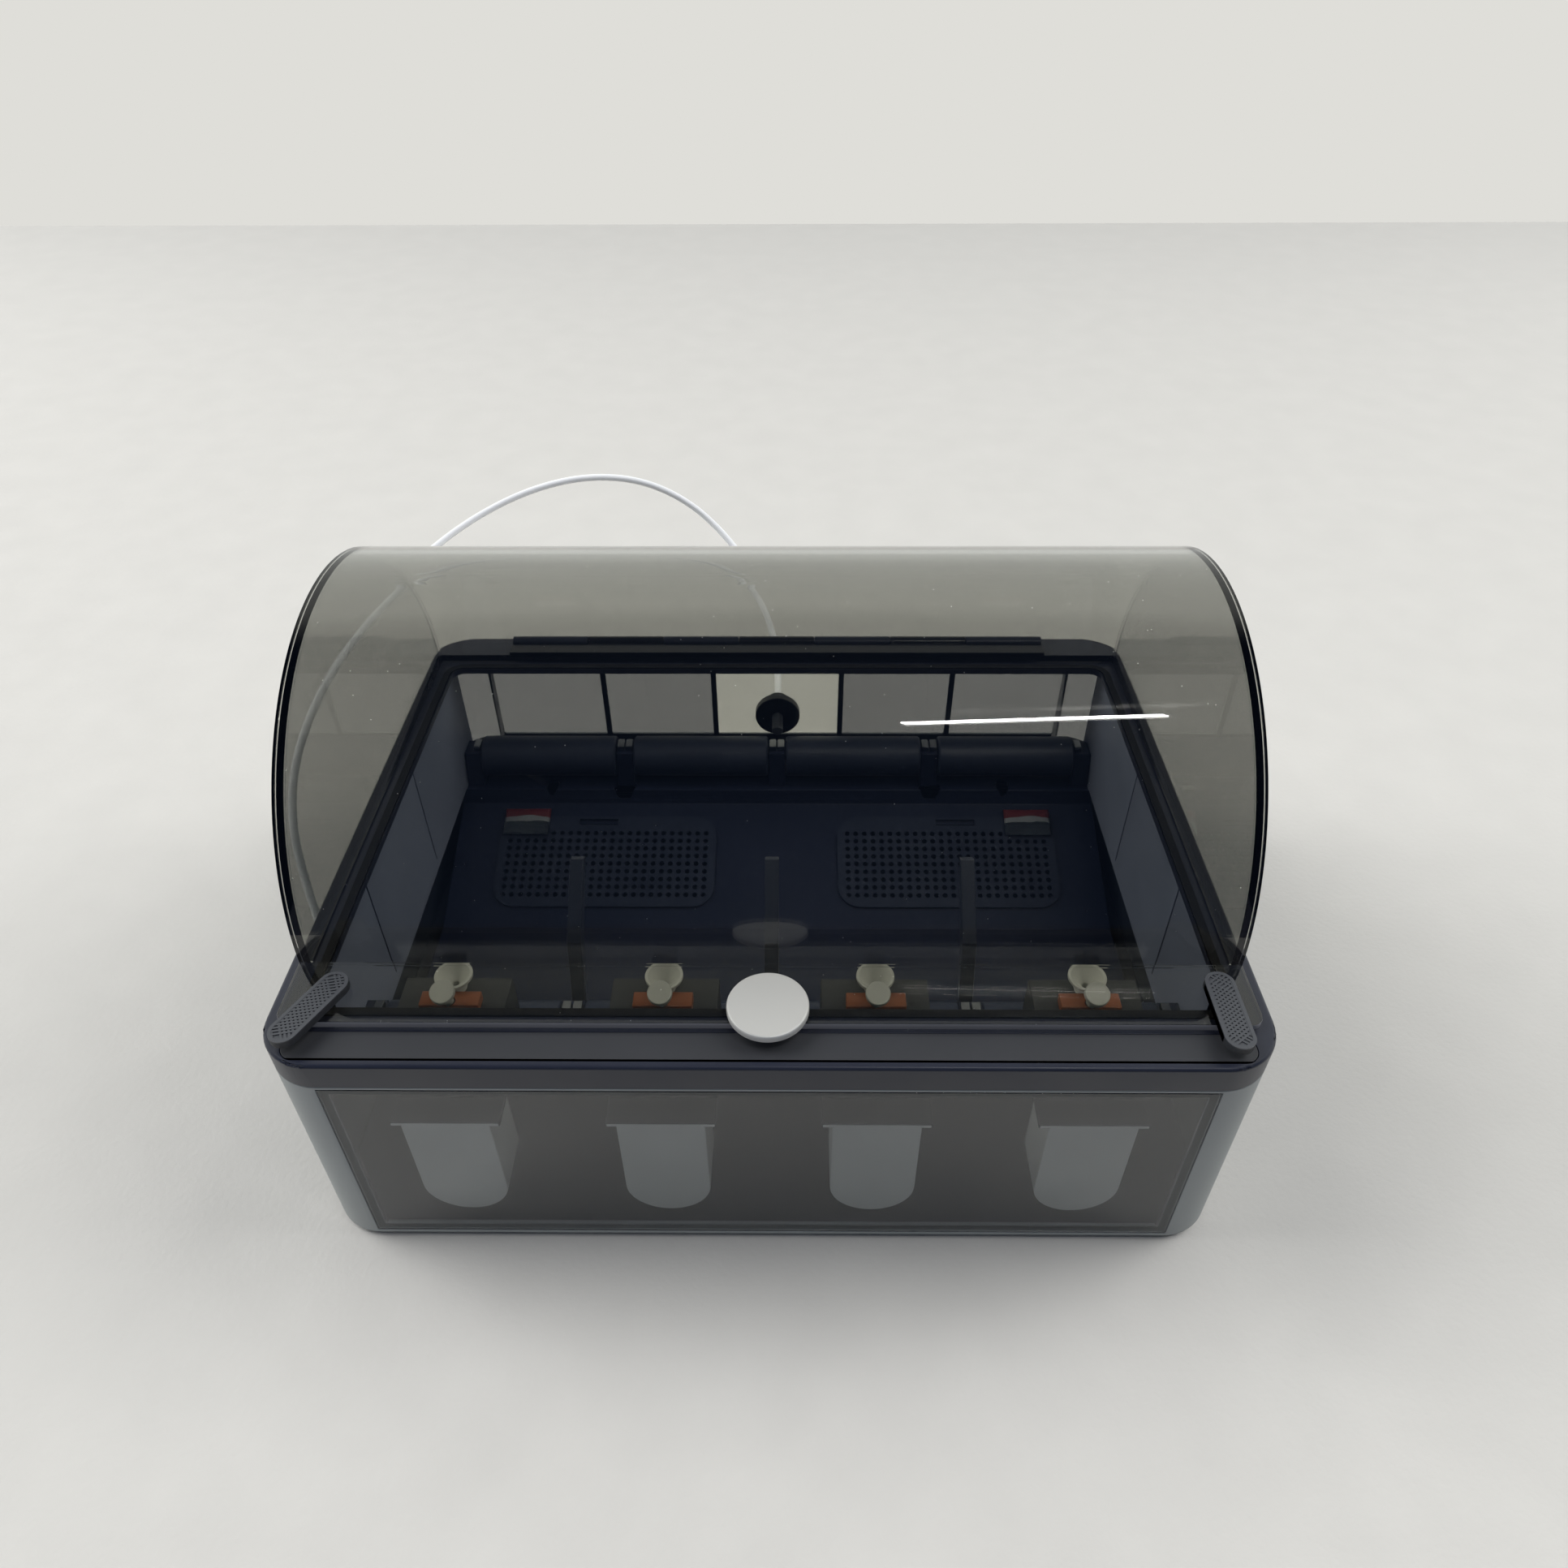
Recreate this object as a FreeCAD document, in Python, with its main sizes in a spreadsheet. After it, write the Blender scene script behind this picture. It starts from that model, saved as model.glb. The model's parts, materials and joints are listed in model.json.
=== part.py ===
import FreeCAD, Part
import math
import os
from types import SimpleNamespace
import Sketcher
from FreeCAD import Placement, Rotation, Vector

# Four-bay filament dry box: a low tub with a curved clear lid, four spool bays on rollers,
# four filament feeders along the front and one tube outlet at the back.
# Frame: origin under the middle of the box, +Z up, front face toward -Y, millimetres.

SIZES = (
    ("body_width", 368.0, "overall width of the tub"),
    ("body_depth", 283.0, "overall depth of the tub"),
    ("corner_radius", 22.0, "upright corners of the tub"),
    ("foot_height", 3.0, "rubber feet"),
    ("foot_radius", 8.0, "rubber feet"),
    ("foot_inset", 34.0, "feet from the outer faces"),
    ("shell_height", 100.5, "lower shell without feet"),
    ("shell_wall", 2.5, "side walls of the shell"),
    ("panel_wall", 4.0, "front and rear walls of the shell"),
    ("floor_wall", 2.5, "floor of the shell"),
    ("frame_height", 12.5, "top frame"),
    ("frame_wall", 5.0, "skirt of the top frame"),
    ("flange_thickness", 3.0, "top deck of the frame"),
    ("rim_round", 1.5, "rounding of the rim's outer edge"),
    ("mouth_side_inset", 16.0, "mouth of the tub, from the side faces"),
    ("mouth_front_inset", 25.5, "mouth of the tub, from the front face"),
    ("mouth_rear_inset", 33.5, "mouth of the tub, from the rear face"),
    ("mouth_radius", 6.0, "mouth corners"),
    ("seal_width", 3.5, "lid seal"),
    ("seal_inset", 0.6, "seal from the mouth's edge"),
    ("seal_groove", 1.0, "depth of the seal's groove"),
    ("seal_slack", 0.1, "seal below the lid"),
    ("strip_inset", 3.0, "front strip, from the front face"),
    ("strip_depth", 12.5, "front strip, front to back"),
    ("strip_side_inset", 10.0, "front strip, from the side faces"),
    ("strip_radius", 6.0, "front strip corners"),
    ("strip_thickness", 1.5, "front strip"),
    ("fit_gap", 0.1, "gap round panels set in a recess"),
    ("window_side_inset", 21.5, "front window, from the side faces"),
    ("window_head", 1.5, "front window below the shell's top edge"),
    ("window_sill", 2.0, "front window above the shell's bottom edge"),
    ("window_lip", 4.0, "ledge behind the front window"),
    ("pane_thickness", 2.0, "front and rear panes"),
    ("rear_pane_inset", 23.0, "rear windows, from the side faces"),
    ("rear_pane_head", 3.5, "rear windows below the shell's top edge"),
    ("rear_pane_height", 52.0, "rear windows"),
    ("rear_lip", 3.0, "ledge behind the rear windows"),
    ("rib_width", 3.0, "upright ribs between the rear windows"),
    ("inner_rib_x", 35.5, "ribs beside the outlet panel"),
    ("outer_rib_x", 97.0, "ribs between the other rear windows"),
    ("outlet_lift", 18.0, "tube outlet above the foot of the rear windows"),
    ("boss_radius", 12.5, "outlet boss"),
    ("boss_depth", 5.0, "outlet boss"),
    ("neck_radius", 6.9, "boss neck through the outlet panel"),
    ("stub_radius", 3.0, "inner outlet stub"),
    ("stub_length", 14.0, "inner outlet stub"),
    ("coupler_radius", 6.5, "tube coupler"),
    ("coupler_length", 9.0, "tube coupler"),
    ("tube_radius", 2.0, "outlet tube"),
    ("socket_inset", 66.0, "power and data socket, from the side face"),
    ("socket_lift", 21.0, "power and data socket above the shell's bottom edge"),
    ("socket_width", 17.0, "power and data socket"),
    ("socket_height", 10.0, "power and data socket"),
    ("socket_depth", 12.0, "power and data socket"),
    ("socket_wall", 1.6, "power and data socket"),
    ("plate_side", 21.5, "socket plate beyond the socket, each side"),
    ("plate_rise", 10.0, "socket plate beyond the socket, above and below"),
    ("lid_seat", 0.8, "lid above the rim"),
    ("dome_front_inset", 44.8, "foot of the lid's dome, from the front face"),
    ("dome_rear_inset", 23.8, "foot of the lid's dome, from the rear face"),
    ("lid_side_inset", 5.5, "lid with its edge trims, from the side faces"),
    ("lid_wall", 3.0, "lid dome and apron sheet"),
    ("trim_width", 3.5, "edge trim across"),
    ("trim_depth", 4.5, "edge trim, radial"),
    ("side_inset", 0.3, "side panels inside the trims"),
    ("side_wall", 2.9, "side panels"),
    ("apron_inset", 16.5, "front edge of the lid's apron, from the front face"),
    ("apron_corner", 5.0, "front corners of the apron"),
    ("knob_inset", 22.0, "lid knob, from the front face"),
    ("knob_radius", 15.0, "lid knob"),
    ("knob_thickness", 3.5, "lid knob"),
    ("knob_lift", 0.8, "knob above the apron"),
    ("knob_chamfer", 0.8, "bright edge of the knob"),
    ("knob_stem", 2.8, "knob stem radius"),
    ("knob_collar", 5.6, "collar between knob and apron"),
    ("hinge_inset", 11.5, "hinge axis, from the rear face"),
    ("hinge_rise", 4.0, "hinge axis above the rim"),
    ("barrel_radius", 3.5, "hinge barrels"),
    ("pin_radius", 1.5, "hinge pin"),
    ("pin_clearance", 0.06, "pin in the lid's barrels"),
    ("knuckle_length", 40.0, "one hinge knuckle"),
    ("knuckle_gap", 0.4, "between knuckles"),
    ("leaf_thickness", 2.2, "hinge leaves"),
    ("leaf_gap", 0.4, "leaf from the other barrels"),
    ("bracket_inset", 3.0, "rear edge of the hinge bracket, from the rear face"),
    ("latch_side_inset", 12.5, "latch pivots, from the lid's ends"),
    ("latch_inset", 21.0, "latch pivots, from the front face"),
    ("latch_length", 35.0, "latch levers"),
    ("latch_width", 11.0, "latch levers"),
    ("latch_thickness", 2.8, "latch levers"),
    ("latch_lift", 0.3, "lever above the apron"),
    ("latch_flat", 0.4, "flat at the levers' round ends"),
    ("latch_rib", 0.5, "grip ribs on the levers"),
    ("spindle_radius", 2.2, "latch spindles"),
    ("spindle_clearance", 0.06, "spindle in the apron"),
    ("left_latch_angle", 63.5, "left lever, from the width direction"),
    ("right_latch_angle", 90.0, "right lever, from the width direction"),
    ("cradle_wall", 2.5, "spool cradle sheet"),
    ("cradle_gap", 0.3, "cradle to the shell"),
    ("liner_side_gap", 8.2, "inner side walls to the shell"),
    ("liner_head", 1.0, "inner side walls below the frame's deck"),
    ("step_inset", 48.5, "front edge of the rear shelf, from the rear face"),
    ("step_drop", 8.0, "top of the perforated slope below the rear shelf"),
    ("slope_foot", 20.0, "foot of the perforated slope behind the middle"),
    ("trough_lift", 6.5, "trough under the spools above the floor"),
    ("ramp_inset", 69.5, "top of the front ramp, from the front face"),
    ("ramp_run", 26.0, "front ramp, front to back"),
    ("ramp_step", 10.0, "top of the front ramp below the front shelf"),
    ("bulkhead_inset", 46.5, "wall between bays and feeders, from the front face"),
    ("bulkhead_lap", 4.0, "that wall above the feeders' underside"),
    ("stand_thickness", 9.0, "roller stands"),
    ("stand_shoulder", 6.0, "roller stands, half width and height at the axis"),
    ("front_stand_height", 12.0, "front roller axis above its shelf"),
    ("rear_stand_height", 13.0, "rear roller axis above its shelf"),
    ("stand_clearance", 0.06, "roller stubs in the stands"),
    ("roller_end_gap", 0.5, "roller to stand"),
    ("stub_pin", 2.0, "roller stub radius"),
    ("rear_roller_inset", 34.5, "rear roller axis, from the rear face"),
    ("rear_roller_drop", 5.0, "rear roller axis below the front one"),
    ("rear_roller_radius", 11.0, "rear rollers"),
    ("front_roller_inset", 60.5, "front roller axis, from the front face"),
    ("front_roller_drop", 10.0, "front roller axis below the feeders"),
    ("front_roller_radius", 8.5, "front rollers"),
    ("roller_chamfer", 0.8, "rollers' end edges"),
    ("clip_width", 3.6, "bearing clips"),
    ("clip_depth", 7.0, "bearing clips"),
    ("clip_height", 3.0, "bearing clips"),
    ("cover_width", 117.0, "perforated covers"),
    ("cover_shift", 8.2, "covers outward of the inner bays"),
    ("cover_thickness", 1.6, "perforated covers"),
    ("cover_radius", 12.0, "perforated covers"),
    ("cover_up", 12.0, "covers above the foot of the slope"),
    ("cover_head", 9.14, "covers below the top of the slope"),
    ("well_margin", 4.0, "ledge under the covers' edges"),
    ("hole_side", 2.8, "holes in the covers"),
    ("hole_pitch", 6.2, "holes in the covers"),
    ("hole_margin", 7.0, "holes from the covers' edges"),
    ("sachet_width", 25.0, "desiccant sachets"),
    ("sachet_depth", 16.0, "desiccant sachets"),
    ("sachet_thickness", 4.0, "desiccant sachets"),
    ("sachet_shift", 44.8, "sachets outward of the covers' middle"),
    ("sachet_up", 42.0, "sachets above the covers' lower edge"),
    ("finger_thickness", 6.0, "spool fingers"),
    ("finger_height", 61.5, "spool fingers above the front shelf"),
    ("finger_reach", 39.0, "finger tip behind the ramp's top"),
    ("finger_tip_run", 4.0, "slanted end of the tip"),
    ("finger_tip_drop", 2.0, "slanted end of the tip"),
    ("finger_knee_run", 18.0, "bend in the lower edge"),
    ("finger_knee_rise", 34.0, "bend in the lower edge"),
    ("finger_back_run", 12.0, "bend in the upper edge"),
    ("finger_back_rise", 39.0, "bend in the upper edge"),
    ("feeder_draw", 1.0, "feeder pitch less than the bays' pitch"),
    ("feeder_width", 42.0, "feeder housings"),
    ("feeder_drop", 17.0, "top of the feeder housings below the rim"),
    ("feeder_height", 25.0, "feeder housings"),
    ("feeder_inset", 17.5, "front of the feeder housings, from the front face"),
    ("feeder_lip", 7.5, "rear lip past the bulkhead"),
    ("feeder_slant", 7.0, "slanted front edge of the housings"),
    ("motor_width", 34.0, "motor covers"),
    ("motor_clearance", 7.5, "motor covers above the floor"),
    ("motor_inset", 6.5, "front face of the motor covers, from the front face"),
    ("motor_depth", 23.0, "motor covers, front to back"),
    ("motor_flange", 2.5, "plate on top of the motor covers"),
    ("funnel_inset", 5.0, "filament inlets, from the housings' rear lip"),
    ("funnel_radius", 7.4, "mouth of the inlets"),
    ("funnel_foot", 4.0, "foot of the inlets"),
    ("funnel_neck", 3.0, "neck of the inlets"),
    ("funnel_height", 8.0, "inlets above the housing"),
    ("funnel_rim", 1.2, "thickness of the inlets' rim"),
    ("guide_bore", 1.3, "filament bore radius"),
    ("guide_depth", 18.0, "filament bore in the housing"),
    ("block_width", 23.0, "idler blocks"),
    ("block_depth", 7.0, "idler blocks"),
    ("block_height", 4.2, "idler blocks"),
    ("block_offset", 8.7, "idler blocks in front of the inlets"),
    ("button_tilt", 20.0, "release buttons lean forward"),
    ("button_radius", 4.7, "release buttons"),
    ("button_thickness", 2.5, "release buttons"),
    ("button_lift", 13.0, "button face above the block's foot"),
    ("button_stem", 1.9, "button stems"),
    ("button_stem_length", 13.0, "button stems"),
    ("button_clearance", 0.08, "stem in its guide"),
)

doc = FreeCAD.newDocument("FilamentDryBox")
sheet = doc.addObject("Spreadsheet::Sheet", "Sizes")


class Size:
    """A size that carries its number and the sheet formula that it comes from."""

    def __init__(self, number, formula):
        self.number = float(number)
        self.formula = formula

    def __add__(self, other):
        return Size(self.number + num(other), "(%s + %s)" % (self.formula, text(other)))

    def __radd__(self, other):
        return Size(num(other) + self.number, "(%s + %s)" % (text(other), self.formula))

    def __sub__(self, other):
        return Size(self.number - num(other), "(%s - %s)" % (self.formula, text(other)))

    def __rsub__(self, other):
        return Size(num(other) - self.number, "(%s - %s)" % (text(other), self.formula))

    def __mul__(self, other):
        return Size(self.number * num(other), "(%s * %s)" % (self.formula, text(other)))

    def __rmul__(self, other):
        return self * other

    def __truediv__(self, other):
        return Size(self.number / num(other), "(%s / %s)" % (self.formula, text(other)))

    def __neg__(self):
        return Size(-self.number, "(0 - %s)" % self.formula)


def num(value):
    return value.number if isinstance(value, Size) else float(value)


def text(value):
    return value.formula if isinstance(value, Size) else "(%.6f)" % value


d = SimpleNamespace()
for row, (alias, value, note) in enumerate(SIZES, 1):
    sheet.set("A%d" % row, note)
    sheet.set("B%d" % row, str(value))
    sheet.setAlias("B%d" % row, alias)
    setattr(d, alias, Size(value, "Sizes." + alias))
doc.recompute()

NODES = []


def node(obj, label):
    obj.Label = label
    NODES.append(obj)
    return obj


def bind(obj, prop, value):
    obj.setExpression(prop, text(value))


def put(obj, x=0.0, y=0.0, z=0.0, axis=None, angle=0.0):
    turn = Rotation(axis, num(angle)) if axis else Rotation()
    obj.Placement = Placement(Vector(num(x), num(y), num(z)), turn)
    bind(obj, "Placement.Base.x", x)
    bind(obj, "Placement.Base.y", y)
    bind(obj, "Placement.Base.z", z)
    if isinstance(angle, Size):
        bind(obj, "Placement.Rotation.Angle", angle)
    return obj


# Simple solids

def box(name, x0, x1, y0, y1, z0, z1):
    obj = doc.addObject("Part::Box", name)
    bind(obj, "Length", x1 - x0)
    bind(obj, "Width", y1 - y0)
    bind(obj, "Height", z1 - z0)
    return put(obj, x0, y0, z0)


def rod(name, radius, length, x, y, z, axis=None, angle=0.0):
    obj = doc.addObject("Part::Cylinder", name)
    bind(obj, "Radius", radius)
    bind(obj, "Height", length)
    return put(obj, x, y, z, axis, angle)


def rod_x(name, radius, x0, x1, y, z):
    return rod(name, radius, x1 - x0, x0, y, z, Vector(0, 1, 0), 90.0)


def rod_y(name, radius, y0, y1, x, z):
    return rod(name, radius, y1 - y0, x, y0, z, Vector(1, 0, 0), -90.0)


def fuse(name, items):
    obj = doc.addObject("Part::MultiFuse", name)
    obj.Shapes = items
    return obj


def group(name, items):
    obj = doc.addObject("Part::Compound", name)
    obj.Links = items
    return obj


def cut(name, base, tools):
    obj = doc.addObject("Part::Cut", name)
    obj.Base = base
    obj.Tool = tools[0] if len(tools) == 1 else fuse(name + "_tools", tools)
    return obj


def common(name, base, tool):
    obj = doc.addObject("Part::Common", name)
    obj.Base = base
    obj.Tool = tool
    return obj


# Sketched solids

def new_sketch(body, name, plane, offset=0.0):
    sketch = body.newObject("Sketcher::SketchObject", name)
    for feature in body.Origin.OriginFeatures:
        if feature.Role == plane:
            sketch.AttachmentSupport = [(feature, "")]
    sketch.MapMode = "FlatFace"
    bind(sketch, "AttachmentOffset.Base.z", offset)
    return sketch


def pin_point(sketch, geo, pos, u, v):
    for kind, value in (("DistanceX", u), ("DistanceY", v)):
        index = sketch.addConstraint(Sketcher.Constraint(kind, -1, 1, geo, pos, num(value)))
        sketch.setExpression("Constraints[%d]" % index, text(value))


def set_radius(sketch, geo, radius):
    index = sketch.addConstraint(Sketcher.Constraint("Radius", geo, num(radius)))
    sketch.setExpression("Constraints[%d]" % index, text(radius))


def polygon(sketch, points):
    ends = [Vector(num(u), num(v), 0) for u, v in points]
    first = sketch.GeometryCount
    for i in range(len(ends)):
        sketch.addGeometry(Part.LineSegment(ends[i], ends[(i + 1) % len(ends)]))
    for i in range(len(ends)):
        following = first + (i + 1) % len(ends)
        sketch.addConstraint(Sketcher.Constraint("Coincident", first + i, 2, following, 1))
    for i, (u, v) in enumerate(points):
        pin_point(sketch, first + i, 1, u, v)


def circle(sketch, u, v, radius):
    geo = sketch.addGeometry(Part.Circle(Vector(num(u), num(v), 0), Vector(0, 0, 1), num(radius)))
    pin_point(sketch, geo, 3, u, v)
    set_radius(sketch, geo, radius)


def round_rectangle(sketch, u0, u1, v0, v1, radius):
    a0, a1, b0, b1, r = num(u0), num(u1), num(v0), num(v1), num(radius)
    lines = (
        ((a0 + r, b0), (a1 - r, b0)), ((a1, b0 + r), (a1, b1 - r)),
        ((a1 - r, b1), (a0 + r, b1)), ((a0, b1 - r), (a0, b0 + r)),
    )
    for start, end in lines:
        sketch.addGeometry(Part.LineSegment(Vector(*start, 0), Vector(*end, 0)))
    centres = ((a1 - r, b0 + r), (a1 - r, b1 - r), (a0 + r, b1 - r), (a0 + r, b0 + r))
    for i, centre in enumerate(centres):
        ring = Part.Circle(Vector(*centre, 0), Vector(0, 0, 1), r)
        turn = math.pi / 2
        sketch.addGeometry(Part.ArcOfCircle(ring, (i - 1) * turn, i * turn))
    for i in range(4):
        sketch.addConstraint(Sketcher.Constraint("Tangent", i, 2, 4 + i, 1))
        sketch.addConstraint(Sketcher.Constraint("Tangent", 4 + i, 2, (i + 1) % 4, 1))
    sketch.addConstraint(Sketcher.Constraint("Horizontal", 0))
    sketch.addConstraint(Sketcher.Constraint("Horizontal", 2))
    sketch.addConstraint(Sketcher.Constraint("Vertical", 1))
    sketch.addConstraint(Sketcher.Constraint("Vertical", 3))
    for i in range(3):
        sketch.addConstraint(Sketcher.Constraint("Equal", 4 + i, 5 + i))
    set_radius(sketch, 4, radius)
    for kind, geo, value in (("DistanceX", 3, u0), ("DistanceX", 1, u1),
                             ("DistanceY", 0, v0), ("DistanceY", 2, v1)):
        index = sketch.addConstraint(Sketcher.Constraint(kind, -1, 1, geo, 1, num(value)))
        sketch.setExpression("Constraints[%d]" % index, text(value))


def half_disc(sketch, u, v, outer, inner=None):
    radii = [outer] if inner is None else [outer, inner]
    for radius in radii:
        ring = Part.Circle(Vector(num(u), num(v), 0), Vector(0, 0, 1), num(radius))
        sketch.addGeometry(Part.ArcOfCircle(ring, 0, math.pi))
    for geo, radius in enumerate(radii):
        pin_point(sketch, geo, 3, u, v)
        set_radius(sketch, geo, radius)
    if inner is None:
        lines = [((0, 2), (0, 1))]
    else:
        lines = [((0, 2), (1, 2)), ((1, 1), (0, 1))]
    for start, end in lines:
        ends = [sketch.getPoint(geo, pos) for geo, pos in (start, end)]
        line = sketch.addGeometry(Part.LineSegment(*ends))
        sketch.addConstraint(Sketcher.Constraint("Coincident", line, 1, *start))
        sketch.addConstraint(Sketcher.Constraint("Coincident", line, 2, *end))
        sketch.addConstraint(Sketcher.Constraint("Horizontal", line))
    index = sketch.addConstraint(Sketcher.Constraint("DistanceY", -1, 1, 0, 1, num(v)))
    sketch.setExpression("Constraints[%d]" % index, text(v))
    if inner is not None:
        index = sketch.addConstraint(Sketcher.Constraint("DistanceY", -1, 1, 0, 2, num(v)))
        sketch.setExpression("Constraints[%d]" % index, text(v))


def feature(body, kind, name, sketch):
    obj = body.newObject("PartDesign::" + kind, name)
    obj.Profile = sketch
    sketch.Visibility = False
    return obj


def pad(name, plane, offset, length, draw):
    body = doc.addObject("PartDesign::Body", name)
    sketch = new_sketch(body, name + "_sketch", plane, offset)
    draw(sketch)
    bind(feature(body, "Pad", name + "_pad", sketch), "Length", length)
    return body


def turned(name, points, axis="V_Axis", plane="XZ_Plane"):
    body = doc.addObject("PartDesign::Body", name)
    sketch = new_sketch(body, name + "_sketch", plane)
    polygon(sketch, points)
    spin = feature(body, "Revolution", name + "_spin", sketch)
    spin.ReferenceAxis = (sketch, [axis])
    spin.Angle = 360.0
    return body


def prism(name, x0, x1, y0, y1, radius, z0, height):
    def draw(sketch):
        round_rectangle(sketch, x0, x1, y0, y1, radius)

    return pad(name, "XY_Plane", z0, height, draw)


def slab_x(name, x0, x1, draw):
    return pad(name, "YZ_Plane", x0, x1 - x0, draw)


# Levels and faces that several pieces share

half_width = d.body_width / 2
half_depth = d.body_depth / 2
front_face = -half_depth
shell_base = d.foot_height
floor_top = shell_base + d.floor_wall
shell_top = shell_base + d.shell_height
rim = shell_top + d.frame_height
lid_base = rim + d.lid_seat
pane_seat_front = front_face + d.pane_thickness
pane_seat_rear = half_depth - d.pane_thickness
feeder_top = rim - d.feeder_drop
feeder_base = feeder_top - d.feeder_height
front_roller_z = feeder_base - d.front_roller_drop
rear_roller_z = front_roller_z - d.rear_roller_drop
front_roller_y = front_face + d.front_roller_inset
rear_roller_y = half_depth - d.rear_roller_inset

# Lower shell: a rounded tub with a window ledge in front and ribbed windows behind

shell_outer = prism("shell_outer", -half_width, half_width, -half_depth, half_depth,
                    d.corner_radius, shell_base, d.shell_height)
cavity_x = half_width - d.shell_wall
cavity_y = half_depth - d.panel_wall
cavity_radius = d.corner_radius - d.panel_wall
shell_cavity = prism("shell_cavity", -cavity_x, cavity_x, -cavity_y, cavity_y,
                     cavity_radius, floor_top, d.shell_height)
window_base = shell_base + d.window_sill
window_top = shell_top - d.window_head
window_x = half_width - d.window_side_inset
front_rebate = box("front_rebate", -window_x, window_x, front_face - d.panel_wall, pane_seat_front,
                   window_base, window_top)
front_opening = box("front_opening", d.window_lip - window_x, window_x - d.window_lip,
                    front_face - d.panel_wall, d.panel_wall - half_depth + d.panel_wall,
                    window_base + d.window_lip, window_top - d.window_lip)
pane_top = shell_top - d.rear_pane_head
pane_base = pane_top - d.rear_pane_height
pane_x = half_width - d.rear_pane_inset
outlet_z = pane_base + d.outlet_lift
rear_rebate = box("rear_rebate", -pane_x, pane_x, pane_seat_rear, half_depth + d.panel_wall,
                  pane_base, pane_top)
rib = d.rib_width / 2
bays = (
    (d.rear_lip - pane_x, -d.outer_rib_x - rib), (rib - d.outer_rib_x, -d.inner_rib_x - rib),
    (rib - d.inner_rib_x, d.inner_rib_x - rib), (d.inner_rib_x + rib, d.outer_rib_x - rib),
    (d.outer_rib_x + rib, pane_x - d.rear_lip),
)
rear_openings = [
    box("rear_opening_%d" % i, x0, x1, cavity_y - d.panel_wall, half_depth,
        pane_base + d.rear_lip, pane_top - d.rear_lip)
    for i, (x0, x1) in enumerate(bays, 1)
]
socket_base = shell_base + d.socket_lift - d.socket_height / 2
socket_x1 = half_width - d.socket_inset + d.socket_width / 2
socket_x0 = socket_x1 - d.socket_width
plate_x0 = socket_x0 - d.plate_side
plate_x1 = socket_x1 + d.plate_side
plate_base = socket_base - d.plate_rise
plate_top = socket_base + d.socket_height + d.plate_rise
plate_seat = box("plate_seat", plate_x0, plate_x1, cavity_y - d.panel_wall, half_depth + d.panel_wall,
                 plate_base, plate_top)
shell_cuts = [shell_cavity, front_rebate, front_opening, rear_rebate, plate_seat] + rear_openings
node(cut("outer_shell", shell_outer, shell_cuts), "outer_shell")

foot_x = half_width - d.foot_inset
foot_y = half_depth - d.foot_inset
feet = [
    rod("foot_%d" % i, d.foot_radius, d.foot_height, sx * foot_x, sy * foot_y, 0.0)
    for i, (sx, sy) in enumerate(((-1, -1), (1, -1), (1, 1), (-1, 1)), 1)
]
node(group("rubber_feet", feet), "rubber_feet")

gap = d.fit_gap
node(box("front_window", gap - window_x, window_x - gap, front_face, pane_seat_front,
         window_base + gap, window_top - gap), "front_window")

pane_sheet = box("pane_sheet", gap - pane_x, pane_x - gap, pane_seat_rear, half_depth,
                 pane_base + gap, pane_top - gap)
pane_middle = box("pane_middle", -d.inner_rib_x, d.inner_rib_x, pane_seat_rear - d.panel_wall,
                  half_depth + d.panel_wall, pane_base, pane_top)
node(cut("rear_window", pane_sheet, [pane_middle]), "rear_window")

outlet_sheet = box("outlet_sheet", gap - d.inner_rib_x, d.inner_rib_x - gap, pane_seat_rear, half_depth,
                   pane_base + gap, pane_top - gap)
outlet_hole = rod_y("outlet_hole", d.neck_radius + gap, pane_seat_rear - d.panel_wall,
                    half_depth + d.panel_wall, 0.0, outlet_z)
node(cut("outlet_panel", outlet_sheet, [outlet_hole]), "outlet_panel")

boss_front = pane_seat_rear - d.boss_depth
boss_disc = rod_y("boss_disc", d.boss_radius, boss_front, pane_seat_rear, 0.0, outlet_z)
boss_neck = rod_y("boss_neck", d.neck_radius, boss_front, half_depth, 0.0, outlet_z)
node(fuse("outlet_boss", [boss_disc, boss_neck]), "outlet_boss")
node(rod_y("outlet_stub", d.stub_radius, boss_front - d.stub_length, boss_front, 0.0, outlet_z),
     "outlet_stub")
coupler_end = half_depth + d.coupler_length
node(rod_y("tube_coupler", d.coupler_radius, half_depth, coupler_end, 0.0, outlet_z), "tube_coupler")

plate_sheet = box("plate_sheet", plate_x0 + gap, plate_x1 - gap, cavity_y, half_depth,
                  plate_base, plate_top - gap)
plate_hole = box("plate_hole", socket_x0, socket_x1, cavity_y - d.panel_wall, half_depth + d.panel_wall,
                 socket_base, socket_base + d.socket_height)
node(cut("socket_plate", plate_sheet, [plate_hole]), "socket_plate")
socket_block = box("socket_block", socket_x0 + gap, socket_x1 - gap, half_depth - d.socket_depth,
                   half_depth, socket_base, socket_base + d.socket_height - gap)
socket_mouth = box("socket_mouth", socket_x0 + d.socket_wall, socket_x1 - d.socket_wall,
                   half_depth - d.socket_depth + d.socket_wall, half_depth + d.socket_wall,
                   socket_base + d.socket_wall, socket_base + d.socket_height - d.socket_wall)
node(cut("rear_socket", socket_block, [socket_mouth]), "rear_socket")

# Top frame: a rounded ring whose deck carries the seal, the front strip and the hinge

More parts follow.
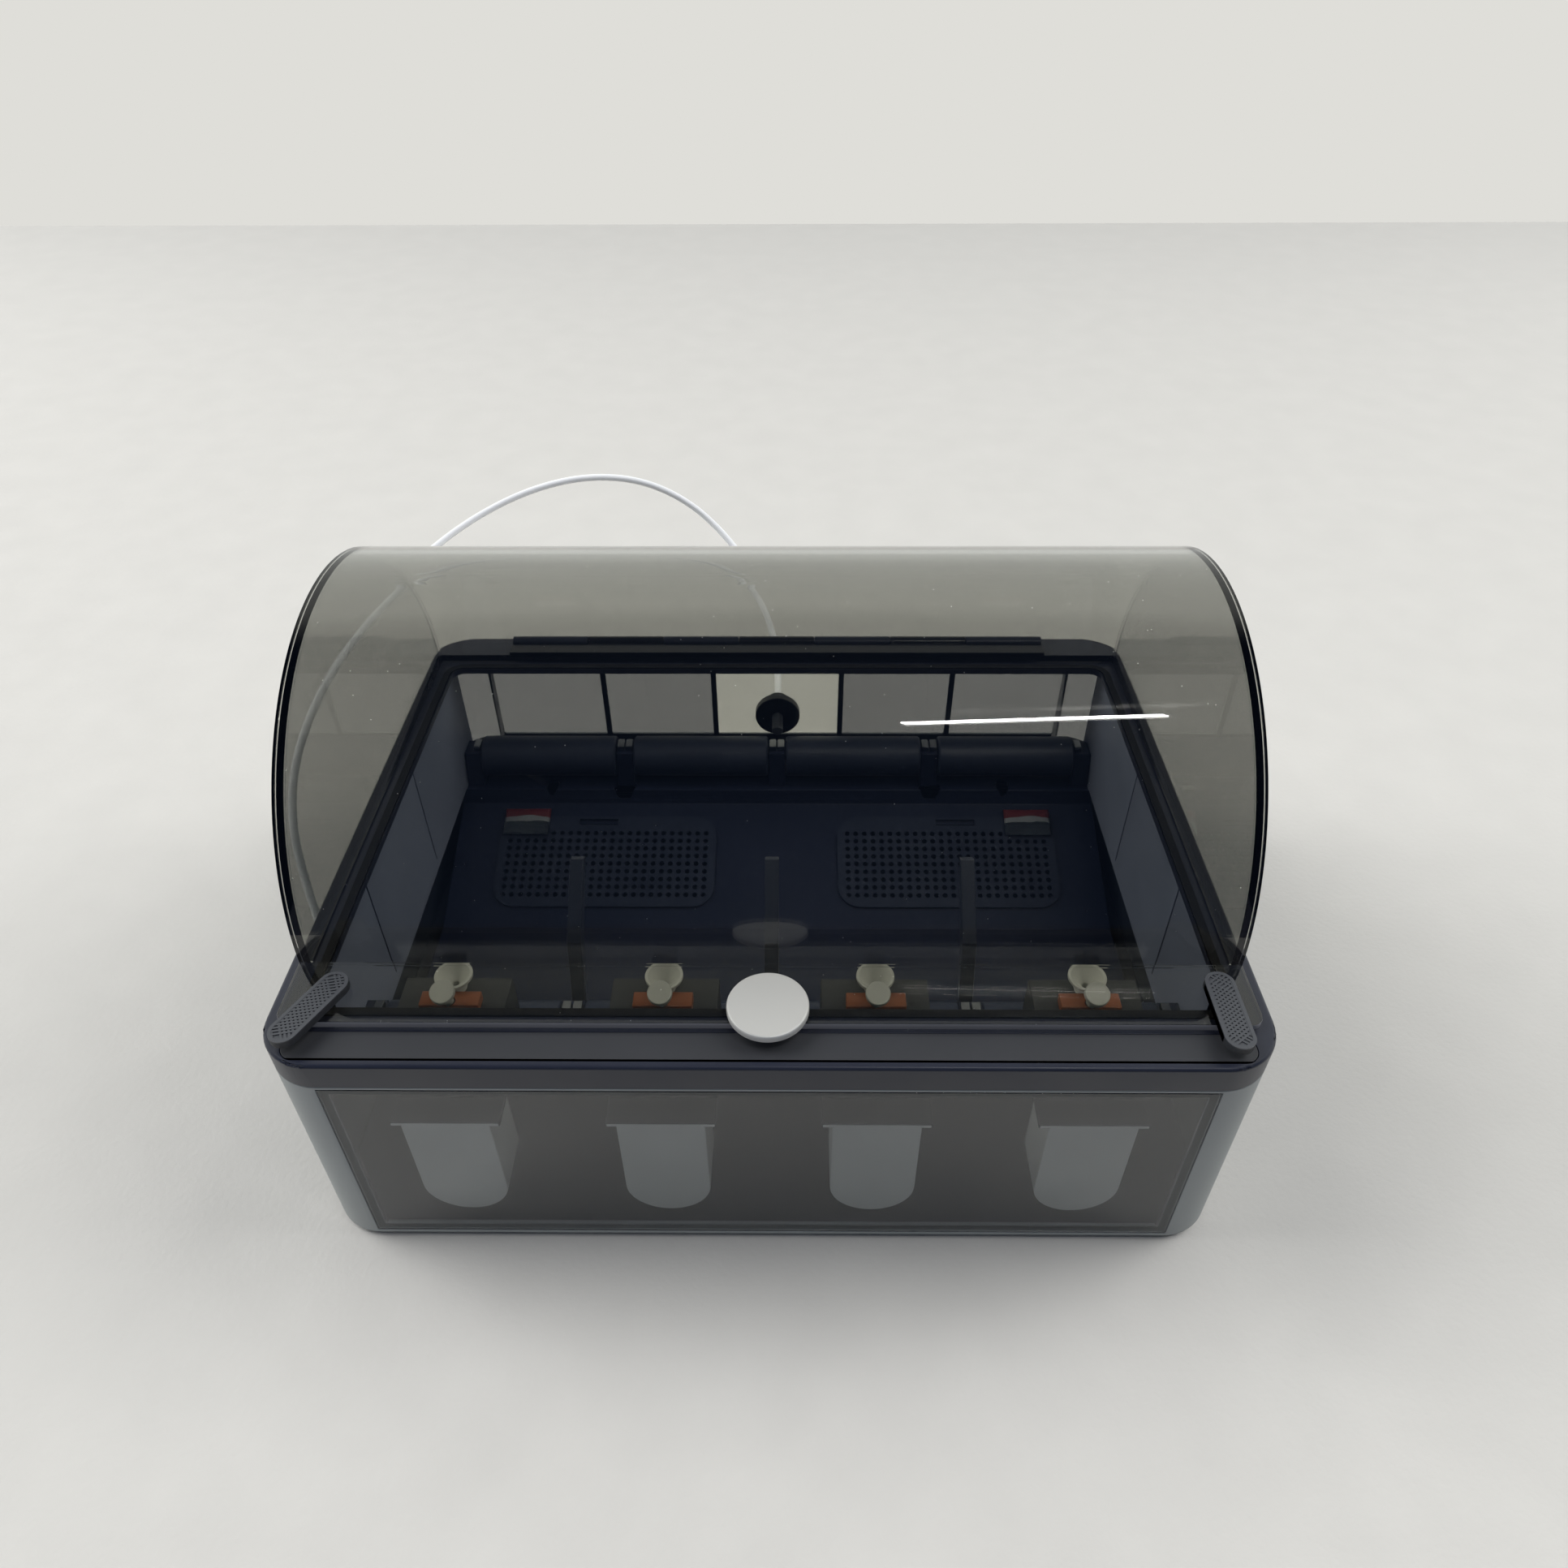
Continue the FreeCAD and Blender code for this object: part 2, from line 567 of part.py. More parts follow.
frame_blank = prism("frame_blank", -half_width, half_width, -half_depth, half_depth,
                    d.corner_radius, shell_top, d.frame_height)
doc.recompute()
frame_pad = doc.getObject("frame_blank_pad")
top_edges = [
    "Edge%d" % i for i, edge in enumerate(frame_pad.Shape.Edges, 1)
    if all(abs(vertex.Z - num(rim)) < 0.001 for vertex in edge.Vertexes)
]
rounding = frame_blank.newObject("PartDesign::Fillet", "rim_rounding")
rounding.Base = (frame_pad, top_edges)
bind(rounding, "Radius", d.rim_round)
frame_cavity = prism("frame_cavity", d.frame_wall - half_width, half_width - d.frame_wall,
                     d.frame_wall - half_depth, half_depth - d.frame_wall,
                     d.corner_radius - d.frame_wall, shell_top - d.flange_thickness, d.frame_height)
mouth_x = half_width - d.mouth_side_inset
mouth_front = front_face + d.mouth_front_inset
mouth_rear = half_depth - d.mouth_rear_inset
frame_mouth = prism("frame_mouth", -mouth_x, mouth_x, mouth_front, mouth_rear, d.mouth_radius,
                    shell_top, d.frame_height + d.frame_wall)
strip_x = half_width - d.strip_side_inset
strip_front = front_face + d.strip_inset
strip_rear = strip_front + d.strip_depth
strip_recess = prism("strip_recess", -strip_x, strip_x, strip_front, strip_rear,
                     d.strip_radius, rim - d.strip_thickness, d.strip_thickness + d.frame_wall)


def mouth_outline(name, reach, base, height):
    return prism(name, -mouth_x - reach, mouth_x + reach, mouth_front - reach, mouth_rear + reach,
                 d.mouth_radius + reach, base, height)


def seal_ring(name, base, height):
    outside = mouth_outline(name + "_outside", d.seal_inset + d.seal_width, base, height)
    inside = mouth_outline(name + "_inside", d.seal_inset, base - d.seal_groove, height + 2 * d.seal_groove)
    return cut(name, outside, [inside])


seal_base = rim - d.seal_groove
seal_cut = seal_ring("seal_cut", seal_base, d.seal_groove + d.seal_width)
node(cut("top_frame", frame_blank, [frame_cavity, frame_mouth, strip_recess, seal_cut]), "top_frame")
node(seal_ring("rim_seal", seal_base, d.seal_groove + d.lid_seat - d.seal_slack), "rim_seal")
node(prism("front_strip", gap - strip_x, strip_x - gap, strip_front + gap, strip_rear - gap,
           d.strip_radius - gap, rim - d.strip_thickness, d.strip_thickness), "front_strip")

# Lid: half-round sheet, half-round sides in edge trims, and a flat apron in front

dome_end = half_width - d.lid_side_inset
dome_x = dome_end - d.trim_width
dome_front = front_face + d.dome_front_inset
dome_rear = half_depth - d.dome_rear_inset
lid_radius = (dome_rear - dome_front) / 2
lid_axis_y = (dome_rear + dome_front) / 2
dome_inside = lid_radius - d.lid_wall
trim_inside = lid_radius - d.trim_depth


def ring_profile(outer, inner=None):
    return lambda sketch: half_disc(sketch, lid_axis_y, lid_base, outer, inner)


node(slab_x("lid_dome", -dome_x, dome_x, ring_profile(lid_radius, dome_inside)), "lid_dome")
trims = [
    slab_x("trim_left", -dome_end, -dome_x, ring_profile(lid_radius, trim_inside)),
    slab_x("trim_right", dome_x, dome_end, ring_profile(lid_radius, trim_inside)),
]
node(group("lid_trims", trims), "lid_trims")
side_outer = dome_end - d.side_inset
side_inner = side_outer - d.side_wall
node(slab_x("lid_side_left", -side_outer, -side_inner, ring_profile(trim_inside)), "lid_side_left")
node(slab_x("lid_side_right", side_inner, side_outer, ring_profile(trim_inside)), "lid_side_right")

dome_body = rod_x("dome_body", lid_radius, -half_width, half_width, lid_axis_y, lid_base)
apron_front = front_face + d.apron_inset
apron_rear = dome_front + d.lid_wall + 2 * d.apron_corner
apron_sheet = prism("apron_sheet", -dome_end, dome_end, apron_front, apron_rear,
                    d.apron_corner, lid_base, d.lid_wall)
knob_y = front_face + d.knob_inset
latch_x = dome_end - d.latch_side_inset
latch_y = front_face + d.latch_inset
knob_hole = rod("knob_hole", d.knob_stem, d.lid_wall * 3, 0.0, knob_y, lid_base - d.lid_wall)
latch_holes = [
    rod("latch_hole_%d" % i, d.spindle_radius + d.spindle_clearance, d.lid_wall * 3,
        side * latch_x, latch_y, lid_base - d.lid_wall)
    for i, side in enumerate((-1, 1), 1)
]
node(cut("lid_apron", apron_sheet, [dome_body, knob_hole] + latch_holes), "lid_apron")

knob_base = d.lid_wall + d.knob_lift
knob_top = knob_base + d.knob_thickness
node(put(turned("lid_knob", (
    (0.0, 0.0), (d.knob_stem, 0.0), (d.knob_stem, d.lid_wall), (d.knob_collar, d.lid_wall),
    (d.knob_collar, knob_base), (d.knob_radius - d.knob_chamfer, knob_base),
    (d.knob_radius, knob_base + d.knob_chamfer), (d.knob_radius, knob_top - d.knob_chamfer),
    (d.knob_radius - d.knob_chamfer, knob_top), (0.0, knob_top),
)), 0.0, knob_y, lid_base), "lid_knob")

# Latch levers: ribbed turn buttons on the apron's front corners

lever_base = d.lid_wall + d.latch_lift
lever_top = lever_base + d.latch_thickness
LEVER_RIBS = 9


def latch_lever(name, side, angle):
    reach = d.latch_length / 2
    across = d.latch_width / 2
    plate = prism(name + "_plate", -reach, reach, -across, across, across - d.latch_flat / 2,
                  lever_base, d.latch_thickness)
    spindle = rod(name + "_spindle", d.spindle_radius, lever_top, 0.0, 0.0, 0.0)
    pitch = (d.latch_length - d.latch_width) / LEVER_RIBS
    ribs = []
    for i in range(LEVER_RIBS):
        middle = (i - (LEVER_RIBS - 1) / 2) * pitch
        ribs.append(box("%s_rib_%d" % (name, i + 1), middle - pitch / 4, middle + pitch / 4,
                        d.latch_rib * 2 - across, across - d.latch_rib * 2, lever_top - d.latch_rib,
                        lever_top + d.latch_rib))
    lever = fuse(name, [plate, spindle] + ribs)
    return put(lever, side * latch_x, latch_y, lid_base, Vector(0, 0, 1), angle)


node(latch_lever("latch_lever_left", -1, d.left_latch_angle), "latch_lever_left")
node(latch_lever("latch_lever_right", 1, d.right_latch_angle), "latch_lever_right")

# Rear hinge: alternating knuckles on one long pin

KNUCKLES = 7
hinge_y = half_depth - d.hinge_inset
hinge_z = rim + d.hinge_rise
bracket_rear = half_depth - d.bracket_inset
hinge_half = d.knuckle_length * KNUCKLES / 2
pin_bore = rod_x("pin_bore", d.pin_radius + d.pin_clearance, -hinge_half, hinge_half, hinge_y, hinge_z)
pin_seat = rod_x("pin_seat", d.pin_radius, -hinge_half, hinge_half, hinge_y, hinge_z)
bracket_parts = [box("bracket_leaf", -hinge_half, hinge_half, hinge_y + d.barrel_radius + d.leaf_gap,
                     bracket_rear, rim, rim + d.leaf_thickness)]
leaf_front = dome_rear - d.lid_wall
leaf_base = hinge_z - d.leaf_thickness / 2
leaf_parts = [box("lid_leaf", -hinge_half, hinge_half, leaf_front,
                  hinge_y - d.barrel_radius - d.leaf_gap, leaf_base, leaf_base + d.leaf_thickness)]
for i in range(KNUCKLES):
    x0 = i * d.knuckle_length - hinge_half + d.knuckle_gap / 2
    x1 = (i + 1) * d.knuckle_length - hinge_half - d.knuckle_gap / 2
    barrel = rod_x("knuckle_%d" % (i + 1), d.barrel_radius, x0, x1, hinge_y, hinge_z)
    if i % 2 == 0:
        web = box("knuckle_web_%d" % (i + 1), x0, x1, hinge_y, bracket_rear, rim, rim + d.leaf_thickness)
        bracket_parts += [barrel, web]
    else:
        web = box("knuckle_web_%d" % (i + 1), x0, x1, leaf_front, hinge_y,
                  leaf_base, leaf_base + d.leaf_thickness)
        leaf_parts += [barrel, web]
node(cut("hinge_bracket", fuse("bracket_blank", bracket_parts), [pin_seat]), "hinge_bracket")
node(cut("hinge_leaf", fuse("leaf_blank", leaf_parts), [pin_bore, dome_body]), "hinge_leaf")
node(rod_x("hinge_pin", d.pin_radius, -hinge_half, hinge_half, hinge_y, hinge_z), "hinge_pin")

# Spool cradle: one bent sheet from the rear shelf down to the trough and up to the bulkhead

wall = d.cradle_wall
front_shelf = front_roller_z - d.front_stand_height
rear_shelf = rear_roller_z - d.rear_stand_height
shelf_end = cavity_y - d.cradle_gap
step_y = half_depth - d.step_inset
slope_top = rear_shelf - d.step_drop
slope_y = d.slope_foot
trough_z = floor_top + d.trough_lift
ramp_y = front_face + d.ramp_inset
trough_front = ramp_y + d.ramp_run
bulkhead_y = front_face + d.bulkhead_inset
bulkhead_top = feeder_base + d.bulkhead_lap
cradle_line = (
    (shelf_end, rear_shelf, 0, -1), (step_y, rear_shelf, 1, -1),
    (step_y - wall, slope_top, 1, -1), (slope_y, trough_z, 0.2, -1),
    (trough_front, trough_z, -0.6, -1), (ramp_y, front_shelf - d.ramp_step, -1, -0.4),
    (ramp_y, front_shelf, -1, -1), (bulkhead_y, front_shelf, -1, -1),
    (bulkhead_y, bulkhead_top, -1, 0),
)
cradle_points = [(y, z) for y, z, a, b in cradle_line]
cradle_points += [(y + a * wall, z + b * wall) for y, z, a, b in reversed(cradle_line)]
liner_outer = cavity_x - d.liner_side_gap
liner_inner = liner_outer - wall
liner_rear = half_depth - d.corner_radius
liner_top = rim - d.flange_thickness - d.liner_head
bay_pitch = (liner_inner - d.cradle_gap - d.stand_thickness / 2) / 2
cradle_sheet = slab_x("cradle_sheet", -liner_outer, liner_outer,
                      lambda sketch: polygon(sketch, cradle_points))
liners = [
    box("liner_left", -liner_outer, -liner_inner, bulkhead_y - wall, liner_rear, rear_shelf, liner_top),
    box("liner_right", liner_inner, liner_outer, bulkhead_y - wall, liner_rear, rear_shelf, liner_top),
]
cradle_legs = [
    box("cradle_leg_%d" % i, x - wall, x + wall, trough_front, slope_y, floor_top, trough_z - wall / 2)
    for i, x in enumerate((-1.5 * bay_pitch, 0 * bay_pitch, 1.5 * bay_pitch), 1)
]
cradle_room = prism("cradle_room", d.cradle_gap - cavity_x, cavity_x - d.cradle_gap, -shelf_end, shelf_end,
                    cavity_radius - d.cradle_gap, floor_top, liner_top)
cradle_whole = fuse("cradle_whole", [cradle_sheet] + liners + cradle_legs)
cradle_blank = common("cradle_blank", cradle_whole, cradle_room)
slope_run = step_y - wall - slope_y
slope_rise = slope_top - trough_z
slope_angle = Size(math.degrees(math.atan2(num(slope_rise), num(slope_run))),
                   "atan(%s / %s)" % (text(slope_rise), text(slope_run)))
slope_length = Size(math.hypot(num(slope_run), num(slope_rise)),
                    "sqrt(pow(%s; 2) + pow(%s; 2))" % (text(slope_run), text(slope_rise)))
cover_x = bay_pitch + d.cover_shift
cover_top = slope_length - d.cover_head
well_margin = d.well_margin


def on_slope(obj, x):
    return put(obj, x, slope_y, trough_z, Vector(1, 0, 0), slope_angle)


wells = []
for i, side in enumerate((-1, 1), 1):
    well = prism("cover_well_%d" % i, well_margin - d.cover_width / 2, d.cover_width / 2 - well_margin,
                 d.cover_up + well_margin, cover_top - well_margin,
                 d.cover_radius - well_margin, -2 * wall, 4 * wall)
    wells.append(on_slope(well, side * cover_x))
node(cut("spool_cradle", cradle_blank, wells), "spool_cradle")

# Perforated desiccant covers on the slope

def hole_count(length):
    return int((num(length) - 2 * num(d.hole_margin)) / num(d.hole_pitch)) + 1


def desiccant_cover(name, side):
    columns = hole_count(d.cover_width)
    rows = hole_count(cover_top - d.cover_up)
    body = prism(name, -d.cover_width / 2, d.cover_width / 2, d.cover_up, cover_top,
                 d.cover_radius, 0.0, d.cover_thickness)
    doc.recompute()
    sketch = new_sketch(body, name + "_hole_sketch", "XY_Plane", d.cover_thickness)
    u = -(columns - 1) / 2 * d.hole_pitch
    v = (d.cover_up + cover_top) / 2 - (rows - 1) / 2 * d.hole_pitch
    h = d.hole_side / 2
    polygon(sketch, ((u - h, v - h), (u + h, v - h), (u + h, v + h), (u - h, v + h)))
    pocket = feature(body, "Pocket", name + "_hole", sketch)
    pocket.Type = "ThroughAll"
    doc.recompute()
    grid = body.newObject("PartDesign::MultiTransform", name + "_grid")
    grid.Originals = [pocket]
    steps = []
    for axis, count in (("H_Axis", columns), ("V_Axis", rows)):
        step = doc.addObject("PartDesign::LinearPattern", name + axis)
        body.addObject(step)
        step.Direction = (sketch, [axis])
        step.Occurrences = count
        bind(step, "Length", (count - 1) * d.hole_pitch)
        steps.append(step)
    grid.Transformations = steps
    body.Tip = grid
    return on_slope(body, side * cover_x)


node(desiccant_cover("desiccant_cover_left", -1), "desiccant_cover_left")
node(desiccant_cover("desiccant_cover_right", 1), "desiccant_cover_right")

# Rollers between stands, one pair to a bay

end_room = d.roller_end_gap
stub_reach = d.stand_thickness / 2 - end_room
roller_half = (bay_pitch - d.stand_thickness) / 2 - end_room


def roller(name, radius, x, y, z):
    tip = roller_half + end_room + stub_reach
    edge = d.roller_chamfer
    body = turned(name, (
        (-tip, 0.0), (tip, 0.0), (tip, d.stub_pin), (roller_half, d.stub_pin), (roller_half, radius - edge),
        (roller_half - edge, radius), (edge - roller_half, radius), (-roller_half, radius - edge),
        (-roller_half, d.stub_pin), (-tip, d.stub_pin),
    ), "H_Axis")
    return put(body, x, y, z)


def stand(name, x, y, z, shelf, foot):
    half = d.stand_thickness / 2
    shoulder = d.stand_shoulder

    def draw(sketch):
        polygon(sketch, ((y - foot, shelf), (y + foot, shelf),
                         (y + shoulder, z + shoulder), (y - shoulder, z + shoulder)))
        circle(sketch, y, z, d.stub_pin + d.stand_clearance)

    return slab_x(name, x - half, x + half, draw)


stands = []
clips = []
for i in range(5):
    x = (i - 2) * bay_pitch
    for kind, y, z, shelf, foot in (
        ("rear", rear_roller_y, rear_roller_z, rear_shelf, d.rear_roller_radius),
        ("front", front_roller_y, front_roller_z, front_shelf, d.front_roller_radius),
    ):
        stands.append(stand("%s_stand_%d" % (kind, i + 1), x, y, z, shelf, foot))
        clip_base = z + d.stand_shoulder
        sides = (-1, 1) if 0 < i < 4 else ((1,) if i == 0 else (-1,))
        for side in sides:
            centre = x + side * d.stand_thickness / 4
            clips.append(box("%s_clip_%d_%d" % (kind, i + 1, side + 2), centre - d.clip_width / 2,
                             centre + d.clip_width / 2, y - d.clip_depth / 2, y + d.clip_depth / 2,
                             clip_base, clip_base + d.clip_height))
node(group("roller_stands", stands), "roller_stands")
node(group("bearing_clips", clips), "bearing_clips")
for i in range(4):
    x = (i - 1.5) * bay_pitch
    rear_name = "rear_roller_%d" % (i + 1)
    front_name = "front_roller_%d" % (i + 1)
    node(roller(rear_name, d.rear_roller_radius, x, rear_roller_y, rear_roller_z), rear_name)
    node(roller(front_name, d.front_roller_radius, x, front_roller_y, front_roller_z), front_name)

# Fingers that keep neighbouring spools apart, each beside a front roller stand

def finger_outline(sketch):
    tip_y = ramp_y + d.finger_reach
    tip_z = front_shelf + d.finger_height
    polygon(sketch, (
        (front_roller_y + d.front_roller_radius, front_shelf), (ramp_y, front_shelf),
        (ramp_y + d.finger_knee_run, front_shelf + d.finger_knee_rise),
        (tip_y + d.finger_tip_run, tip_z - d.finger_tip_drop), (tip_y, tip_z),
        (ramp_y + d.finger_back_run, front_shelf + d.finger_back_rise),
    ))


fingers = []
for i in range(3):
    x = (i - 1) * bay_pitch - d.finger_thickness / 2
    fingers.append(slab_x("finger_%d" % (i + 1), x, x + d.finger_thickness, finger_outline))
node(group("bay_fingers", fingers), "bay_fingers")

# Feeders: housing over a round-bottomed motor cover, with inlet, idler block and release button

feeder_pitch = bay_pitch - d.feeder_draw
housing_rear = bulkhead_y - wall
housing_front = front_face + d.feeder_inset
housing_lip = bulkhead_y + d.feeder_lip
funnel_y = housing_lip - d.funnel_inset
block_y = funnel_y - d.block_offset
motor_base = floor_top + d.motor_clearance
motor_front = front_face + d.motor_inset
motor_rear = motor_front + d.motor_depth
button_lean = math.radians(num(d.button_tilt))
lean_sin = Size(math.sin(button_lean), "sin(%s * 1deg)" % text(d.button_tilt))
lean_cos = Size(math.cos(button_lean), "cos(%s * 1deg)" % text(d.button_tilt))


def leaning_rod(name, radius, start, length, x, y, z):
    return rod(name, radius, length, x, y - start * lean_sin, z + start * lean_cos,
               Vector(1, 0, 0), d.button_tilt)


def feeder_outline(sketch):
    polygon(sketch, (
        (housing_front, feeder_base), (housing_rear, feeder_base), (housing_rear, bulkhead_top),
        (housing_lip, bulkhead_top), (housing_lip, feeder_top),
        (housing_front + d.feeder_slant, feeder_top), (housing_front, feeder_top - d.feeder_slant),
    ))


motor_flange_base = feeder_base - d.motor_flange
motor_radius = d.motor_width / 2
bowl_z = motor_base + motor_radius
blocks = []
for i in range(4):
    tag = "_%d" % (i + 1)
    x = (i - 1.5) * feeder_pitch
    blank = slab_x("housing_blank" + tag, x - d.feeder_width / 2, x + d.feeder_width / 2, feeder_outline)
    guide = rod("housing_guide" + tag, d.guide_bore, d.guide_depth + d.guide_bore, x, funnel_y,
                feeder_top - d.guide_depth)
    stem_room = leaning_rod("stem_room" + tag, d.button_stem + d.button_clearance,
                            -d.button_stem_length, d.button_stem_length * 2, x, block_y, feeder_top)
    node(cut("feeder_housing" + tag, blank, [guide, stem_room]), "feeder_housing" + tag)

    block = box("block_blank" + tag, x - d.block_width / 2, x + d.block_width / 2,
                block_y - d.block_depth / 2, block_y + d.block_depth / 2,
                feeder_top, feeder_top + d.block_height)
    block_bore = leaning_rod("block_bore" + tag, d.button_stem + d.button_clearance,
                             -d.button_stem_length, d.button_stem_length * 3, x, block_y, feeder_top)
    blocks.append(cut("idler_block" + tag, block, [block_bore]))

    face = d.button_lift
    cap = leaning_rod("button_cap" + tag, d.button_radius, face, d.button_thickness, x, block_y, feeder_top)
    stem = leaning_rod("button_shank" + tag, d.button_stem, face - d.button_stem_length,
                       d.button_stem_length + d.button_thickness / 2, x, block_y, feeder_top)
    node(fuse("release_button" + tag, [cap, stem]), "release_button" + tag)

    bore = d.guide_bore
    node(put(turned("inlet_funnel" + tag, (
        (bore, 0.0), (d.funnel_foot, 0.0), (d.funnel_foot, d.funnel_rim), (d.funnel_neck, 2 * d.funnel_rim),
        (d.funnel_radius, d.funnel_height - d.funnel_rim), (d.funnel_radius, d.funnel_height),
        (d.funnel_radius - d.funnel_rim, d.funnel_height), (bore, d.funnel_rim * 2),
    )), x, funnel_y, feeder_top), "inlet_funnel" + tag)

    bowl = rod_y("motor_bowl" + tag, motor_radius, motor_front, motor_rear, x, bowl_z)
    chest = box("motor_chest" + tag, x - motor_radius, x + motor_radius, motor_front, motor_rear,
                bowl_z, motor_flange_base)
    plate = box("motor_plate" + tag, x - d.feeder_width / 2, x + d.feeder_width / 2, motor_front, motor_rear,
                motor_flange_base, feeder_base)
    node(fuse("motor_cover" + tag, [bowl, chest, plate]), "motor_cover" + tag)
node(group("idler_blocks", blocks), "idler_blocks")

# Desiccant sachets on the perforated covers

sachets = []
sachet_base = d.cover_up + d.sachet_up
for i, side in enumerate((-1, 1), 1):
    sachet = prism("sachet_%d" % i, -d.sachet_width / 2, d.sachet_width / 2,
                   sachet_base, sachet_base + d.sachet_depth,
                   d.sachet_thickness / 2, d.cover_thickness, d.sachet_thickness)
    sachets.append(on_slope(sachet, side * (cover_x + d.sachet_shift)))
node(group("desiccant_sachets", sachets), "desiccant_sachets")

# Outlet tube: a stiff clear tube that arches round the back to the left side and ends on the table

TUBE_POINTS = (
    (0, 176, 66), (-2, 200, 75), (-8, 226, 86), (-19, 250, 97), (-36, 268, 112), (-58, 277, 129),
    (-86, 275, 144), (-118, 267, 150), (-151, 257, 146), (-182, 242, 136), (-207, 220, 125),
    (-223, 190, 117), (-231, 155, 114), (-236, 118, 112), (-239, 82, 106), (-240, 50, 95),
    (-238, 27, 76), (-232, 11, 52), (-223, -6, 30), (-215, -26, 13), (-210, -47, 4.2), (-207, -64, 2.1),
)


def tube_path(points, share=0.45):
    edges = []
    last = points[0]
    for i in range(1, len(points) - 1):
        before = points[i - 1] - points[i]
        after = points[i + 1] - points[i]
        short = min(before.Length, after.Length) * share
        a = points[i] + before.normalize() * short
        b = points[i] + after.normalize() * short
        turn = math.pi - before.getAngle(after)
        radius = short / math.tan(turn / 2)
        print("tube bend %d: turn %.1f deg, radius %.1f mm" % (i, math.degrees(turn), radius))
        middle = (a + b) * 0.5
        corner = points[i] - middle
        sag = radius * (1 - math.cos(turn / 2))
        edges.append(Part.makeLine(last, a))
        edges.append(Part.Arc(a, middle + corner.normalize() * sag, b).toShape())
        last = b
    edges.append(Part.makeLine(last, points[-1]))
    return Part.Wire(edges)


tube_start = Vector(0, num(coupler_end), num(outlet_z))
tube_wire = tube_path([tube_start] + [Vector(*point) for point in TUBE_POINTS])
tube_ring = Part.Wire([Part.makeCircle(num(d.tube_radius), tube_start, Vector(0, 1, 0))])
tube_solid = tube_wire.makePipeShell([tube_ring], True, False)
expected = math.pi * num(d.tube_radius) ** 2 * tube_wire.Length
print("tube length %.1f mm, volume ratio %.4f" % (tube_wire.Length, tube_solid.Volume / expected))
tube = doc.addObject("Part::Feature", "outlet_tube")
tube.Shape = tube_solid
node(tube, "outlet_tube")

doc.recompute()
for obj in doc.Objects:
    if "Invalid" in obj.State or "Error" in obj.State:
        raise RuntimeError("failed object: " + obj.Name)
for obj in NODES:
    if obj.Shape.isNull() or not obj.Shape.isValid() or not obj.Shape.Solids:
        raise RuntimeError("bad shape: " + obj.Label)
os.makedirs("parts", exist_ok=True)
for obj in NODES:
    obj.Shape.exportStep("parts/%s.step" % obj.Label)
print("pieces:", len(NODES))
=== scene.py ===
import json
import math

import bmesh
import bpy
from mathutils import Matrix, Vector

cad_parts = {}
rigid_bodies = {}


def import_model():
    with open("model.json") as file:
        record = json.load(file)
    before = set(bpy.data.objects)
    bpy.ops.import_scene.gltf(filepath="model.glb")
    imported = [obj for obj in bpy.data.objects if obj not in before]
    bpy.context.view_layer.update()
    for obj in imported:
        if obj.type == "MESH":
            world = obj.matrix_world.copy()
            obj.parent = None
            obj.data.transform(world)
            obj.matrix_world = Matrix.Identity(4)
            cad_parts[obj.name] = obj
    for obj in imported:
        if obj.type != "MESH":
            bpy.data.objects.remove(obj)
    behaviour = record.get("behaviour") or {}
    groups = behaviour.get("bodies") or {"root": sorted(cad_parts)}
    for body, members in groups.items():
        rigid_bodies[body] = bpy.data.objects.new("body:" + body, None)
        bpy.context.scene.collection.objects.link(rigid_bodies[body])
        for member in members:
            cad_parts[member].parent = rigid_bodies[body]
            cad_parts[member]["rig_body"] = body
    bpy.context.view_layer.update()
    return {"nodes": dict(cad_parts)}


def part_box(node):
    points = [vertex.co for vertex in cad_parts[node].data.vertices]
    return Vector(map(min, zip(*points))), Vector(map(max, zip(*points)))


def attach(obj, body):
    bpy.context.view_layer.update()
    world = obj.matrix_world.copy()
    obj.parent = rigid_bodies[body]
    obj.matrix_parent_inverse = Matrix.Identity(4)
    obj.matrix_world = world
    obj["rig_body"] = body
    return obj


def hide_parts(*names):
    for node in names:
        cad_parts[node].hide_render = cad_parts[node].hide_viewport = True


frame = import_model()

# Outer shell: the tub's lower body, injection moulded in one piece from smoke grey ABS.
# The mould's spark-eroded skin leaves an even satin, and every edge has a small radius.
# A separate plate of the same plastic closes the wall round the rear socket.
MM = 0.001
CLOUD_SIZE = 35 * MM
CAD_WELD = 0.002 * MM
FLAT_WITHIN = 0.5
SHARP_FROM = 32


def linear(code):
    """The linear colour, with full alpha, of an sRGB hex value."""
    channels = [int(code[i:i + 2], 16) / 255 for i in (1, 3, 5)]
    return [c / 12.92 if c <= 0.04045 else ((c + 0.055) / 1.055) ** 2.4 for c in channels] + [1.0]


def add(tree, kind, inputs=None, **settings):
    """A new node with its settings. Each input is linked to its socket or sockets, or set to its value."""
    node = tree.nodes.new(kind)
    for name, value in settings.items():
        setattr(node, name, value)
    for name, value in (inputs or {}).items():
        sources = value if isinstance(value, list) else [value]
        if isinstance(sources[0], bpy.types.NodeSocket):
            for source in sources:
                tree.links.new(source, node.inputs[name])
        else:
            node.inputs[name].default_value = value
    return node


def surface(name):
    """A new material with an empty node tree."""
    material = bpy.data.materials.new(name)
    material.use_nodes = True
    material.node_tree.nodes.clear()
    return material, material.node_tree


